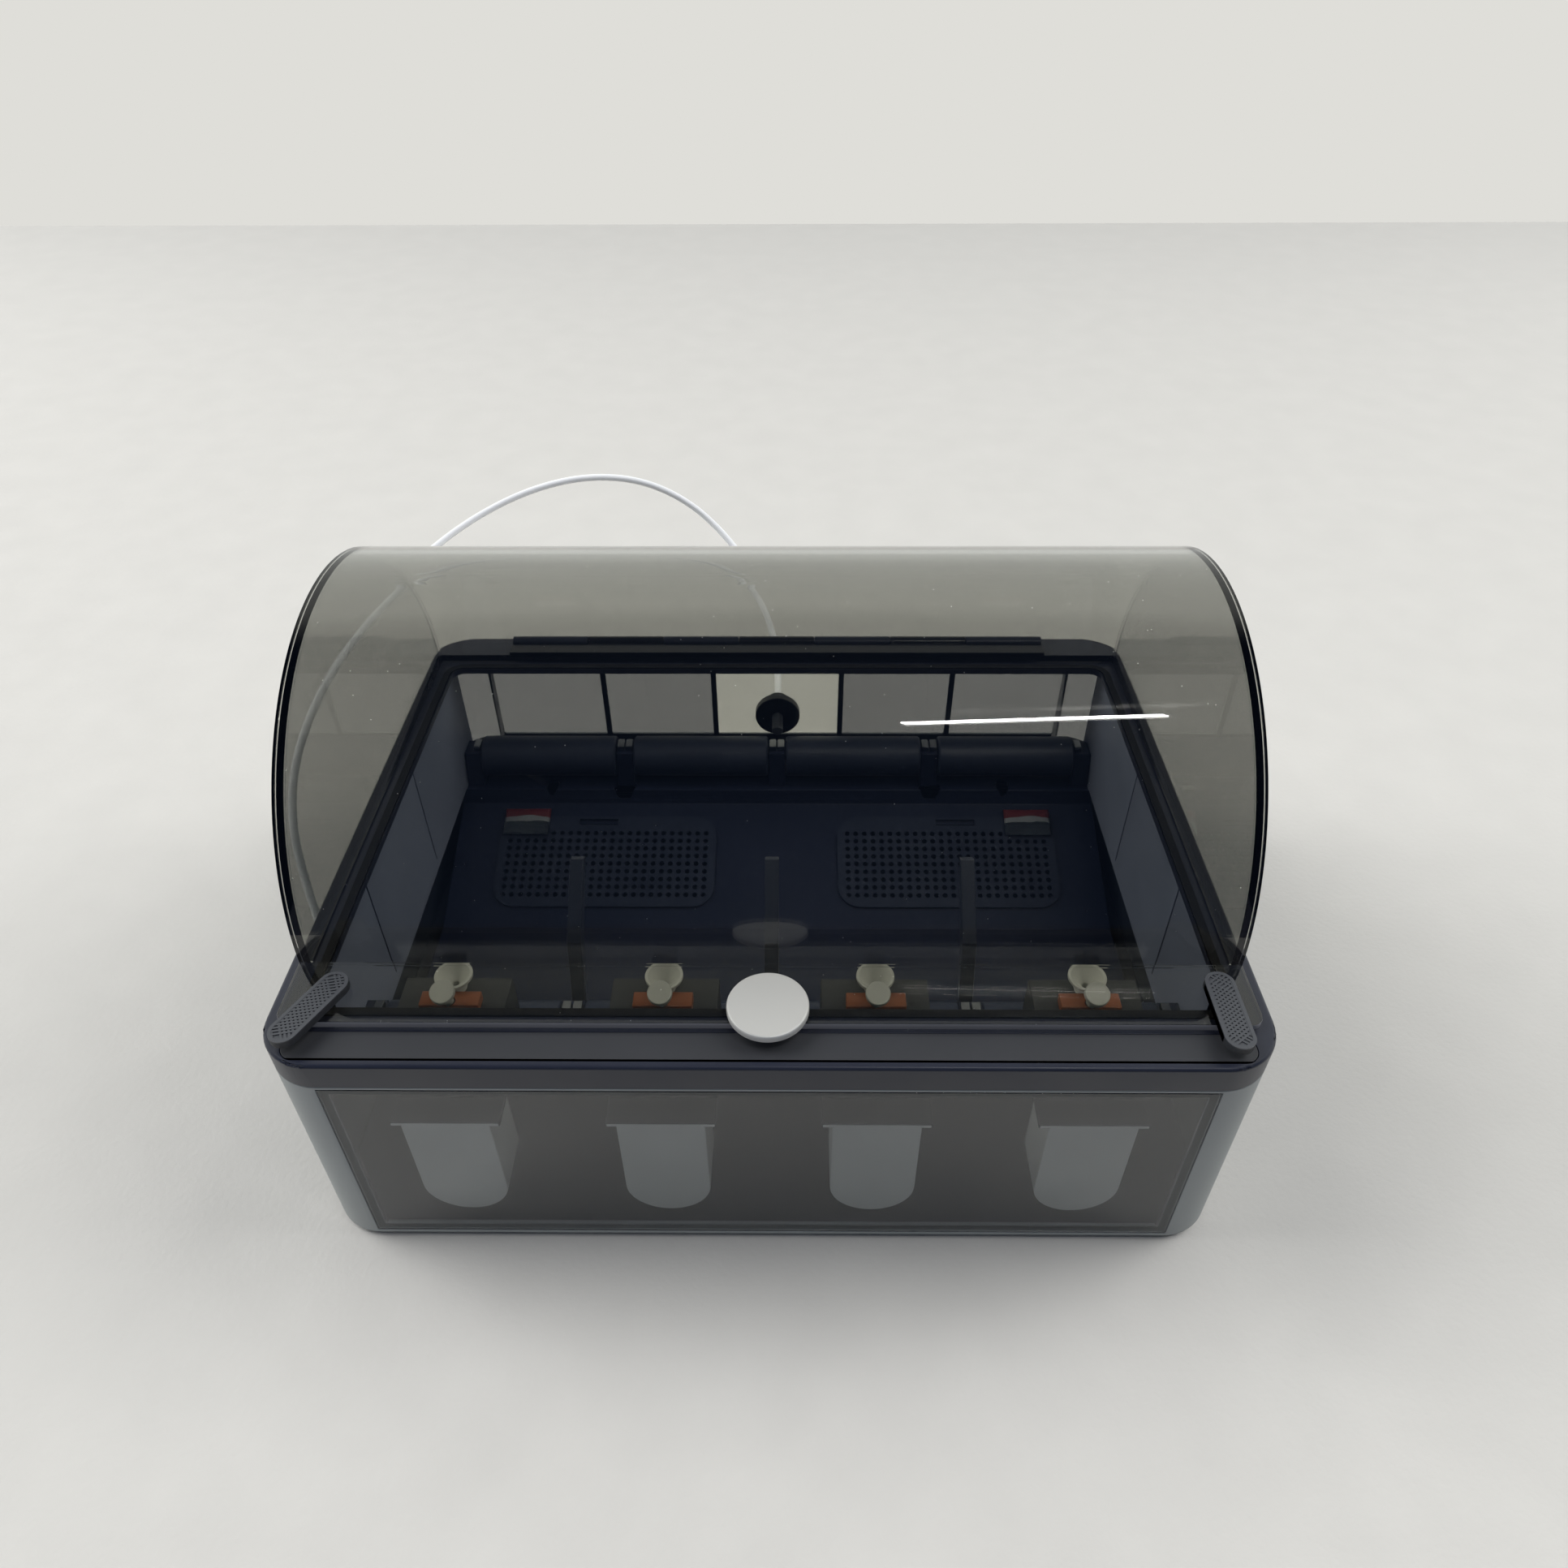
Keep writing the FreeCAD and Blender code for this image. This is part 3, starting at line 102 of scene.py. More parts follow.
def moulded_plastic(name, colour, roughness, grain, depth, mottle=0.06, ior=1.52):
    """Moulded plastic: an even colour with faint clouding and a fine grain from the mould's skin."""
    material, tree = surface(name)
    place = add(tree, "ShaderNodeTexCoord").outputs["Object"]
    skin = add(tree, "ShaderNodeTexNoise", {"Vector": place, "Scale": 1 / grain, "Detail": 3.0})
    cloud = add(tree, "ShaderNodeTexNoise", {"Vector": place, "Scale": 1 / CLOUD_SIZE, "Detail": 4.0})
    spread = {"Value": cloud.outputs["Fac"], "From Min": 0.3, "From Max": 0.7}
    tone = add(tree, "ShaderNodeMapRange", {**spread, "To Min": 1 - mottle, "To Max": 1 + mottle})
    shade = add(tree, "ShaderNodeHueSaturation", {"Color": linear(colour), "Value": tone.outputs["Result"]})
    gloss = add(tree, "ShaderNodeMapRange", {
        **spread, "To Min": roughness * 0.9, "To Max": min(1.0, roughness * 1.12)})
    bump = add(tree, "ShaderNodeBump", {"Height": skin.outputs["Fac"], "Distance": depth, "Strength": 0.6})
    shader = add(tree, "ShaderNodeBsdfPrincipled", {
        "Base Color": shade.outputs["Color"], "Roughness": gloss.outputs["Result"], "IOR": ior,
        "Normal": bump.outputs["Normal"]})
    add(tree, "ShaderNodeOutputMaterial", {"Surface": shader.outputs["BSDF"]})
    return material


def new_piece(name, mesh, finish, body, nodes=()):
    """A piece of the scene that rides on a body and stands for its CAD nodes."""
    piece = bpy.data.objects.new(name, mesh)
    bpy.context.scene.collection.objects.link(piece)
    piece.data.materials.clear()
    piece.data.materials.append(finish)
    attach(piece, body)
    if nodes:
        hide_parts(*nodes)
    return piece


def smooth(mesh, angle=SHARP_FROM):
    """Smooth shading, with edges that turn by more than the angle left sharp."""
    mesh.shade_smooth()
    mesh.set_sharp_from_angle(angle=math.radians(angle))


def baked(holder):
    """A plain mesh of an object as its modifiers leave it."""
    mesh = bpy.data.meshes.new_from_object(holder.evaluated_get(bpy.context.evaluated_depsgraph_get()))
    mesh.name = holder.name
    bpy.data.objects.remove(holder)
    return mesh


def merged_copy(node, levels=(), uprights=()):
    """A copy of a CAD solid with its loose triangles merged into whole faces.

    The faces are split at two levels, and between these also along upright planes.
    """
    mesh = frame["nodes"][node].data.copy()
    work = bmesh.new()
    work.from_mesh(mesh)
    bmesh.ops.remove_doubles(work, verts=work.verts, dist=CAD_WELD)
    bmesh.ops.dissolve_limit(work, angle_limit=math.radians(FLAT_WITHIN), verts=work.verts, edges=work.edges)
    for level in levels:
        everything = work.verts[:] + work.edges[:] + work.faces[:]
        bmesh.ops.bisect_plane(work, geom=everything, plane_co=(0, 0, level), plane_no=(0, 0, 1))
    for place, across in uprights:
        band = [face for face in work.faces if levels[0] < face.calc_center_median().z < levels[1]]
        everything = work.verts[:] + work.edges[:] + band
        bmesh.ops.bisect_plane(work, geom=everything, plane_co=place, plane_no=across)
    work.to_mesh(mesh)
    work.free()
    smooth(mesh)
    return mesh


def edged(node, edge, carved=None, **splits):
    """The mesh of a CAD solid with whole faces and rounded edges, kept inside the solid's box."""
    holder = bpy.data.objects.new("finished_" + node, merged_copy(node, **splits))
    bpy.context.scene.collection.objects.link(holder)
    if carved:
        carving = holder.modifiers.new("carving", "BOOLEAN")
        carving.operation = "DIFFERENCE"
        carving.solver = "EXACT"
        carving.object = carved
    if edge:
        bevel = holder.modifiers.new("edges", "BEVEL")
        bevel.limit_method = "ANGLE"
        bevel.angle_limit = math.radians(SHARP_FROM)
        bevel.width = edge
        bevel.segments = 2
        bevel.use_clamp_overlap = False
        bevel.harden_normals = True
    mesh = baked(holder)
    low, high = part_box(node)
    for vertex in mesh.vertices:
        vertex.co = [min(max(c, a), b) for c, a, b in zip(vertex.co, low, high)]
    return mesh


def finished(node, finish, edge=0.3 * MM, carved=None, **splits):
    """The CAD solid as it leaves the mould, in its own finish."""
    mesh = edged(node, edge, carved, **splits)
    body = frame["nodes"][node]["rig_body"]
    return new_piece("finished_" + node, mesh, finish, body, [node])


# Smoke grey ABS has a cool satin skin that lightens where it faces the table.
shell_abs = moulded_plastic("smoke_grey_abs", "#828787", 0.38, 0.45 * MM, 0.012 * MM)
# The upright rear corners stay clear beside the windows, so the mesh is split along their borders.
CORNER_REACH = 22 * MM
PANE_LAP = 3.5 * MM
pane_low, pane_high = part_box("rear_window")
corner_x = pane_high.x - PANE_LAP
corner_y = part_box("outer_shell")[1].y - CORNER_REACH
shell = finished("outer_shell", shell_abs, edge=0.5 * MM, levels=(pane_low.z, pane_high.z), uprights=(
    ((corner_x, 0, 0), (1, 0, 0)), ((-corner_x, 0, 0), (1, 0, 0)), ((0, corner_y, 0), (0, 1, 0))))
# Inside, a darker copy of the plastic with a dull sheen is painted shade for the shaded tub, so it reads as
# nearly black through the lid.
inside_painted_shade = moulded_plastic("inner_abs_painted_shade", "#20242e", 0.5, 0.6 * MM, 0.012 * MM)
finished("socket_plate", shell_abs, edge=0.2 * MM)

# Feet: four round pads of black rubber, pressed on under the floor.
# Rubber scatters what light reaches it, so they read as flat black.
foot_rubber = moulded_plastic("black_rubber", "#1c1c1d", 0.85, 0.8 * MM, 0.03 * MM)
finished("rubber_feet", foot_rubber, edge=0.4 * MM)

# Front window: a smoked polycarbonate pane, let into the shell flush with its face.
# It is clear but dark, so pale parts behind it show as soft grey shapes.
SMEAR_SIZE = 28 * MM
SPECK_SPACING = 7 * MM


def clear_sheet(name, tint, shadow_tint, roughness, ior, dust=0.0):
    """Tinted clear plastic: sharp reflections, faint smears, dust specks, and tinted light through it."""
    material, tree = surface(name)
    place = add(tree, "ShaderNodeTexCoord").outputs["Object"]
    smear = add(tree, "ShaderNodeTexNoise", {"Vector": place, "Scale": 1 / SMEAR_SIZE, "Detail": 5.0})
    gloss = add(tree, "ShaderNodeMapRange", {
        "Value": smear.outputs["Fac"], "From Min": 0.45, "From Max": 0.75,
        "To Min": roughness, "To Max": roughness + 0.03}).outputs["Result"]
    if dust:
        # Specks of dust, drawn at 0.4 mm where real ones are finer so that they show.
        specks = add(tree, "ShaderNodeTexVoronoi", {"Vector": place, "Scale": 1 / SPECK_SPACING})
        near = add(tree, "ShaderNodeMapRange", {
            "Value": specks.outputs["Distance"], "From Min": 0.022, "From Max": 0.032,
            "To Min": dust, "To Max": 0.0})
        dusty = add(tree, "ShaderNodeMath", {0: gloss, 1: near.outputs["Result"]}, operation="ADD")
        gloss = dusty.outputs[0]
    glass = add(tree, "ShaderNodeBsdfPrincipled", {
        "Base Color": linear(tint), "Roughness": gloss, "IOR": ior, "Transmission Weight": 1.0})
    through = add(tree, "ShaderNodeBsdfTransparent", {"Color": linear(shadow_tint)})
    path = add(tree, "ShaderNodeLightPath")
    both = add(tree, "ShaderNodeMixShader", {
        0: path.outputs["Is Shadow Ray"], 1: glass.outputs["BSDF"], 2: through.outputs["BSDF"]})
    add(tree, "ShaderNodeOutputMaterial", {"Surface": both.outputs["Shader"]})
    return material


smoked_pane = clear_sheet("smoked_polycarbonate", "#c4c7cb", "#dfe1e4", 0.05, 1.5)
finished("front_window", smoked_pane, edge=0.25 * MM)

# Rear windows: four smoked panes between the shell's ribs, and a lighter one for the tube outlet.
# The panes are cut from sheet and glued into their ledges from outside. They look like grey glass.
rear_pane = clear_sheet("dark_polycarbonate", "#969798", "#c6c7c7", 0.05, 1.5)
light_pane = clear_sheet("light_polycarbonate", "#dfdfd8", "#efefec", 0.05, 1.5)
GLUE_LINE = 0.1 * MM
for node, finish in (("rear_window", rear_pane), ("outlet_panel", light_pane)):
    pane = finished(node, finish, edge=0.25 * MM)
    for vertex in pane.data.vertices:
        vertex.co.y = max(vertex.co.y, pane_low.y + GLUE_LINE)
# The shell's corners beside the panes are clear too, and its floor and inward walls take the painted shade.
OUTER_SKIN, CLEAR_CORNER, INNER_PAINTED_SHADE = range(3)
INWARD_REACH = 20 * MM
FLOOR_TOP = 8 * MM
FLOOR_LEVEL = 0.9
shell.data.materials.append(rear_pane)
shell.data.materials.append(inside_painted_shade)
for face in shell.data.polygons:
    middle = face.center
    beside = abs(middle.x) > corner_x and middle.y > corner_y and pane_low.z < middle.z < pane_high.z
    inward = face.normal.xy.dot(middle.xy) < -INWARD_REACH
    on_floor = face.normal.z > FLOOR_LEVEL and middle.z < FLOOR_TOP
    face.material_index = CLEAR_CORNER if beside else INNER_PAINTED_SHADE if inward or on_floor else OUTER_SKIN

# Tube outlet: a black boss on the outlet pane, a grey stub inside, and a push-in coupler outside.
# All three are turned or moulded nylon, and so is the shroud of the rear socket.
# Nylon's skin is smooth and a little waxy, with broad soft highlights.
black_nylon = moulded_plastic("black_nylon", "#141416", 0.45, 0.5 * MM, 0.015 * MM)
stub_nylon = moulded_plastic("grey_nylon", "#54565c", 0.4, 0.5 * MM, 0.01 * MM)
finished("outlet_boss", black_nylon, edge=0.5 * MM)
finished("outlet_stub", stub_nylon, edge=0.4 * MM)
finished("tube_coupler", black_nylon, edge=0.6 * MM)
finished("rear_socket", black_nylon, edge=0.2 * MM)

# Top frame: a satin black ring on the shell, with a deck for the lid's seal and a strip in front.
# The seal is a soft black cord in a groove, and the strip a fine-grained dark grey inlay.
# The ring has a soft bluish gloss, the strip a dull grain, and the seal hardly any shine.
frame_abs = moulded_plastic("satin_black_abs", "#212430", 0.38, 0.5 * MM, 0.006 * MM)
strip_abs = moulded_plastic("grained_grey_abs", "#323336", 0.5, 0.6 * MM, 0.03 * MM)
seal_rubber = moulded_plastic("seal_rubber", "#161617", 0.8, 0.6 * MM, 0.02 * MM)
finished("top_frame", frame_abs, edge=0.3 * MM)
finished("rim_seal", seal_rubber, edge=0.25 * MM)
finished("front_strip", strip_abs, edge=0.25 * MM)

# Spool cradle: a black moulding in the tub, stepped from the rear shelf down to a trough and up again.
# Its skin is finer than the shell's, so it shows a soft bluish gloss.
# Round-ended holes go through the rear shelf, and shallow seams run up the inner side walls.
SHELF_HOLES = (
    Vector((124, 97, 0)) * MM,
    Vector((84, 95.5, 0)) * MM,
)
HOLE_SIZES = (
    Vector((6.5, 10, 0)) * MM,
    Vector((12, 8, 0)) * MM,
)
HOLE_DEPTH = 7 * MM
SHELF_Z = 46 * MM
HOLE_STEPS = 24
SEAM_PLACES = (31 * MM, -44 * MM)
SEAM_SIZE = Vector((1.2, 0.7, 60)) * MM
SEAM_Z = 82 * MM
WALL_FACE = 170.8 * MM
WALL_REACH = 12 * MM
WALL_UPRIGHT = 0.7


def punch_hole(work, centre, size):
    """A round-ended bar that cuts one hole."""
    end = min(size.x, size.y) / 2
    rings = []
    for level in (-HOLE_DEPTH, HOLE_DEPTH):
        ring = []
        for i in range(HOLE_STEPS):
            turn = 2 * math.pi * (i + 0.5) / HOLE_STEPS
            spot = Vector((math.cos(turn), math.sin(turn), 0)) * end
            spot.x += math.copysign(size.x / 2 - end, spot.x)
            spot.y += math.copysign(size.y / 2 - end, spot.y)
            ring.append(work.verts.new(centre + spot + Vector((0, 0, level))))
        work.faces.new(ring)
        rings.append(ring)
    for i in range(HOLE_STEPS):
        after = (i + 1) % HOLE_STEPS
        work.faces.new((rings[0][i], rings[0][after], rings[1][after], rings[1][i]))


def cradle_punch():
    """All that is cut out of the cradle, as one object."""
    work = bmesh.new()
    for side in (-1, 1):
        for spot, size in zip(SHELF_HOLES, HOLE_SIZES):
            punch_hole(work, Vector((side * spot.x, spot.y, SHELF_Z)), size)
        for seam_y in SEAM_PLACES:
            place = Matrix.Translation((side * WALL_FACE, seam_y, SEAM_Z))
            place = place @ Matrix.Diagonal(SEAM_SIZE.to_4d())
            bmesh.ops.create_cube(work, size=1.0, matrix=place)
    bmesh.ops.recalc_face_normals(work, faces=work.faces)
    mesh = bpy.data.meshes.new("cradle_punch")
    work.to_mesh(mesh)
    work.free()
    punch = bpy.data.objects.new("cradle_punch", mesh)
    bpy.context.scene.collection.objects.link(punch)
    return punch


cradle_abs = moulded_plastic("black_cradle_abs", "#1a2034", 0.4, 0.6 * MM, 0.012 * MM)
punch = cradle_punch()
cradle = finished("spool_cradle", cradle_abs, edge=0.4 * MM, carved=punch)
bpy.data.objects.remove(punch)
# The inner side walls are a paler grade that reads as slate grey, so their faces take a second finish.
slate_abs = moulded_plastic("slate_cradle_abs", "#757b8c", 0.42, 0.6 * MM, 0.012 * MM)
cradle.data.materials.append(slate_abs)
wall_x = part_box("spool_cradle")[1].x - WALL_REACH
for face in cradle.data.polygons:
    face.material_index = int(abs(face.center.x) > wall_x and abs(face.normal.x) > WALL_UPRIGHT)

# Desiccant covers: thin black lids over the wells in the slope, moulded with rows of round holes.
# They drop in from above, and a slot at the upper edge takes a fingertip.
# They are a little greyer than the cradle, so the holes stand out as black dots.
SLOPE_FOOT = Vector((0, 20, 12)) * MM
SLOPE_RUN = 70.5 * MM
SLOPE_RISE = 26 * MM
slope_turn = Matrix.Rotation(math.atan2(SLOPE_RISE, SLOPE_RUN), 4, "X")
COVER_X = 91.2 * MM
COVER_WIDTH = 117 * MM
COVER_LOW = 12 * MM
COVER_HIGH = 66 * MM
COVER_THICKNESS = 1.6 * MM
COVER_CORNER = 12 * MM
CORNER_STEPS = 8
HOLE_PITCH = 4.6 * MM
HOLE_RADIUS = 1.4 * MM
HOLE_SIDES = 10
HOLE_MARGIN = 5 * MM
GRIP_SLOT = Vector((21, 3.6, 0)) * MM
GRIP_SHIFT = 6 * MM
WELD = 0.001 * MM


def size_tree(name, sizes):
    """An empty node tree with one named input for each size, and the sockets that carry them."""
    tree = bpy.data.node_groups.new(name, "GeometryNodeTree")
    for title, value in sizes.items():
        kind = "NodeSocketInt" if isinstance(value, int) else "NodeSocketFloat"
        tree.interface.new_socket(title, in_out="INPUT", socket_type=kind)
    tree.interface.new_socket("Mesh", in_out="OUTPUT", socket_type="NodeSocketGeometry")
    return tree, add(tree, "NodeGroupInput").outputs


def grown_mesh(tree, sizes):
    """The plain mesh that a node tree gives for these sizes."""
    holder = bpy.data.objects.new(tree.name, bpy.data.meshes.new(tree.name))
    bpy.context.scene.collection.objects.link(holder)
    modifier = holder.modifiers.new("form", "NODES")
    modifier.node_group = tree
    for item in tree.interface.items_tree:
        if item.in_out == "INPUT":
            modifier[item.identifier] = sizes[item.name]
    return baked(holder)


def plate_of(tree, outline, thickness):
    """Nodes that fill flat curves and give the sheet its thickness."""
    sheet = add(tree, "GeometryNodeFillCurve", {"Curve": outline}).outputs["Mesh"]
    raised = add(tree, "GeometryNodeExtrudeMesh", {
        "Mesh": sheet, "Offset Scale": thickness, "Individual": False})
    under = add(tree, "GeometryNodeFlipFaces", {"Mesh": sheet})
    both = add(tree, "GeometryNodeJoinGeometry", {
        "Geometry": [under.outputs["Mesh"], raised.outputs["Mesh"]]})
    return add(tree, "GeometryNodeMergeByDistance", {
        "Geometry": both.outputs["Geometry"], "Distance": WELD})


def close_tree(tree, geometry, finish):
    """Ends a tree with real geometry in its finish."""
    whole = add(tree, "GeometryNodeRealizeInstances", {"Geometry": geometry})
    dressed = add(tree, "GeometryNodeSetMaterial", {
        "Geometry": whole.outputs["Geometry"], "Material": finish})
    add(tree, "NodeGroupOutput", {"Mesh": dressed.outputs["Geometry"]})


def tidy_normals(mesh, place):
    """Merges doubles, turns all faces outwards and moves the mesh to its place."""
    work = bmesh.new()
    work.from_mesh(mesh)
    bmesh.ops.remove_doubles(work, verts=work.verts, dist=WELD)
    bmesh.ops.recalc_face_normals(work, faces=work.faces)
    bmesh.ops.transform(work, matrix=place, verts=work.verts)
    work.to_mesh(mesh)
    work.free()
    smooth(mesh)


def perforated_cover(side, finish):
    """A flat plate with rounded corners, a field of holes and a grip slot, laid on the slope."""
    columns = int((COVER_WIDTH - 2 * HOLE_MARGIN) / HOLE_PITCH) + 1
    rows = int((COVER_HIGH - COVER_LOW - 2 * HOLE_MARGIN - GRIP_SLOT.y) / HOLE_PITCH) + 1
    sizes = {
        "Width": COVER_WIDTH, "Depth": COVER_HIGH - COVER_LOW, "Thickness": COVER_THICKNESS,
        "Corner": COVER_CORNER, "Columns": columns, "Rows": rows,
        "Field Width": (columns - 1) * HOLE_PITCH, "Field Depth": (rows - 1) * HOLE_PITCH,
        "Field Shift": -GRIP_SLOT.y / 2, "Hole Radius": HOLE_RADIUS,
        "Slot Width": GRIP_SLOT.x, "Slot Depth": GRIP_SLOT.y, "Slot Shift": side * GRIP_SHIFT,
        "Slot Height": (COVER_HIGH - COVER_LOW) / 2 - GRIP_SLOT.y / 2 - COVER_THICKNESS}
    tree, size = size_tree("perforated_cover", sizes)
    blank = add(tree, "GeometryNodeCurvePrimitiveQuadrilateral", {
        "Width": size["Width"], "Height": size["Depth"]})
    outline = add(tree, "GeometryNodeFilletCurve", {
        "Curve": blank.outputs["Curve"], "Radius": size["Corner"], "Count": CORNER_STEPS}, mode="POLY")
    field = add(tree, "GeometryNodeMeshGrid", {
        "Size X": size["Field Width"], "Size Y": size["Field Depth"],
        "Vertices X": size["Columns"], "Vertices Y": size["Rows"]})
    below_slot = add(tree, "ShaderNodeCombineXYZ", {"Y": size["Field Shift"]})
    lowered = add(tree, "GeometryNodeTransform", {
        "Geometry": field.outputs["Mesh"], "Translation": below_slot.outputs["Vector"]})
    hole = add(tree, "GeometryNodeCurvePrimitiveCircle", {
        "Resolution": HOLE_SIDES, "Radius": size["Hole Radius"]})
    holes = add(tree, "GeometryNodeInstanceOnPoints", {
        "Points": lowered.outputs["Geometry"], "Instance": hole.outputs["Curve"]})
    slot = add(tree, "GeometryNodeCurvePrimitiveQuadrilateral", {
        "Width": size["Slot Width"], "Height": size["Slot Depth"]})
    slot_place = add(tree, "ShaderNodeCombineXYZ", {"X": size["Slot Shift"], "Y": size["Slot Height"]})
    slot_there = add(tree, "GeometryNodeTransform", {
        "Geometry": slot.outputs["Curve"], "Translation": slot_place.outputs["Vector"]})
    drawn = add(tree, "GeometryNodeJoinGeometry", {"Geometry": [
        outline.outputs["Curve"], holes.outputs["Instances"], slot_there.outputs["Geometry"]]})
    flat = add(tree, "GeometryNodeRealizeInstances", {"Geometry": drawn.outputs["Geometry"]})
    plate = plate_of(tree, flat.outputs["Geometry"], size["Thickness"])
    close_tree(tree, plate.outputs["Geometry"], finish)
    mesh = grown_mesh(tree, sizes)
    middle = Matrix.Translation((0, (COVER_LOW + COVER_HIGH) / 2, 0))
    foot = Matrix.Translation(SLOPE_FOOT + Vector((side * COVER_X, 0, 0)))
    tidy_normals(mesh, foot @ slope_turn @ middle)
    return mesh


cover_abs = moulded_plastic("black_cover_abs", "#242a3b", 0.42, 0.6 * MM, 0.012 * MM)
for side, name in ((-1, "left"), (1, "right")):
    mesh = perforated_cover(side, cover_abs)
    new_piece("perforated_cover_" + name, mesh, cover_abs, "base",
              ["desiccant_cover_" + name])

# Desiccant sachets: small pillow packs of printed foil, heat-sealed round the edge and filled with beads.
# They lie loose on the covers' outer upper corners.
SACHET_WIDTH = 25 * MM
SACHET_DEPTH = 16 * MM
SACHET_THICKNESS = 4 * MM
SACHET_X = 136 * MM
SACHET_LOW = 54 * MM
SACHET_COLUMNS = 30
SACHET_ROWS = 20
SILVER_SHARE = 0.56
RED_START = 0.74
BAND_WAVE = 0.22
WRINKLES_ACROSS = 3.0
WRINKLES_ALONG = 14.0
CREASE_DEPTH = 2.4 * MM
BENCH_SCALE = 20
START_BULGE = 1 / 60
PRESSURE_FRAMES = 24
FOIL_CLOTH = {
    "quality": 6, "mass": 0.2, "tension_stiffness": 25, "compression_stiffness": 25, "shear_stiffness": 10,
    "bending_stiffness": 0.5, "use_pressure": True, "uniform_pressure_force": 1.0,
}


def blown_sachet(name):
    """Two foil sheets sealed at the rim, blown up by cloth simulation on a larger bench model."""
    wide = SACHET_WIDTH * BENCH_SCALE
    deep = SACHET_DEPTH * BENCH_SCALE
    work = bmesh.new()
    layer = work.loops.layers.uv.new("print")
    rows = {}
    for level in (-1, 1):
        for j in range(SACHET_ROWS + 1):
            for i in range(SACHET_COLUMNS + 1):
                rim = i in (0, SACHET_COLUMNS) or j in (0, SACHET_ROWS)
                if level == 1 and rim:
                    rows[level, i, j] = rows[-1, i, j]
                    continue
                x = (i / SACHET_COLUMNS - 0.5) * wide
                y = (j / SACHET_ROWS - 0.5) * deep
                rows[level, i, j] = work.verts.new((x, y, level * deep * START_BULGE))
    for level in (-1, 1):
        for j in range(SACHET_ROWS):
            for i in range(SACHET_COLUMNS):
                corners = [(i, j), (i + 1, j), (i + 1, j + 1), (i, j + 1)]
                face = work.faces.new([rows[level, a, b] for a, b in corners[::level]])
                for loop, (a, b) in zip(face.loops, corners[::level]):
                    loop[layer].uv = (a / SACHET_COLUMNS, b / SACHET_ROWS)
    mesh = bpy.data.meshes.new(name)
    work.to_mesh(mesh)
    work.free()
    holder = bpy.data.objects.new(name, mesh)
    bpy.context.scene.collection.objects.link(holder)
    cloth = holder.modifiers.new("foil", "CLOTH")
    for title, value in FOIL_CLOTH.items():
        setattr(cloth.settings, title, value)
    cloth.settings.effector_weights.gravity = 0.0
    cloth.point_cache.frame_end = PRESSURE_FRAMES
    for moment in range(1, PRESSURE_FRAMES + 1):
        bpy.context.scene.frame_set(moment)
    swollen = baked(holder)
    bpy.context.scene.frame_set(1)
    for axis, size in enumerate((SACHET_WIDTH, SACHET_DEPTH, SACHET_THICKNESS)):
        span = [vertex.co[axis] for vertex in swollen.vertices]
        low, high = min(span), max(span)
        for vertex in swollen.vertices:
            vertex.co[axis] = ((vertex.co[axis] - low) / (high - low) - 0.5) * size
    swollen.shade_smooth()
    return swollen


def printed_foil():
    """Foil film: a red band, a white one, and bare silver with heat-seal wrinkles that glitter. The print is
    darkened as painted shade.
    """
    material, tree = surface("printed_foil")
    place = add(tree, "ShaderNodeUVMap", uv_map="print").outputs["UV"]
    part = add(tree, "ShaderNodeSeparateXYZ", {"Vector": place})
    wave = add(tree, "ShaderNodeTexNoise", {"Vector": place, "Scale": 2.0, "Detail": 1.0})
    height = add(tree, "ShaderNodeMath", {0: wave.outputs["Fac"], 1: BAND_WAVE, 2: part.outputs["Y"]},
                 operation="MULTIPLY_ADD").outputs[0]
    band = add(tree, "ShaderNodeValToRGB", {"Fac": height})
    band.color_ramp.interpolation = "CONSTANT"
    # The print's colours are painted shade: the white band is drawn mid grey and the red band dark, for the
    # shade the sachets lie in.
    band.color_ramp.elements[0].color = linear("#b2babd")
    band.color_ramp.elements[1].color = linear("#5e272b")
    band.color_ramp.elements[1].position = RED_START
    white = band.color_ramp.elements.new(SILVER_SHARE)
    white.color = linear("#808386")
    silver = add(tree, "ShaderNodeMath", {0: height, 1: SILVER_SHARE}, operation="LESS_THAN").outputs[0]
    # Wrinkles run along the width, so there are more of them from front to back.
    long_wrinkles = add(tree, "ShaderNodeMapping", {
        "Vector": place, "Scale": (WRINKLES_ACROSS, WRINKLES_ALONG, 1.0)})
    wrinkle = add(tree, "ShaderNodeTexNoise", {
        "Vector": long_wrinkles.outputs["Vector"], "Scale": 1.0, "Detail": 6.0, "Roughness": 0.7})
    crease = add(tree, "ShaderNodeMath", {0: wrinkle.outputs["Fac"], 1: silver}, operation="MULTIPLY")
    bump = add(tree, "ShaderNodeBump", {
        "Height": crease.outputs[0], "Distance": CREASE_DEPTH, "Strength": 1.0})
    shader = add(tree, "ShaderNodeBsdfPrincipled", {
        "Base Color": band.outputs["Color"], "Metallic": silver, "Roughness": 0.28,
        "Normal": bump.outputs["Normal"]})
    add(tree, "ShaderNodeOutputMaterial", {"Surface": shader.outputs["BSDF"]})
    return material


foil = printed_foil()
pack = blown_sachet("foil_sachets")
sachets = bmesh.new()
for side in (-1, 1):
    copy = pack.copy()
    seat = Matrix.Translation((0, SACHET_LOW + SACHET_DEPTH / 2, COVER_THICKNESS + SACHET_THICKNESS / 2))
    foot = Matrix.Translation(SLOPE_FOOT + Vector((side * SACHET_X, 0, 0)))
    copy.transform(foot @ slope_turn @ seat)
    sachets.from_mesh(copy)
sachets.to_mesh(pack)
sachets.free()
pair = new_piece("foil_sachets", pack, foil, "base", ["desiccant_sachets"])

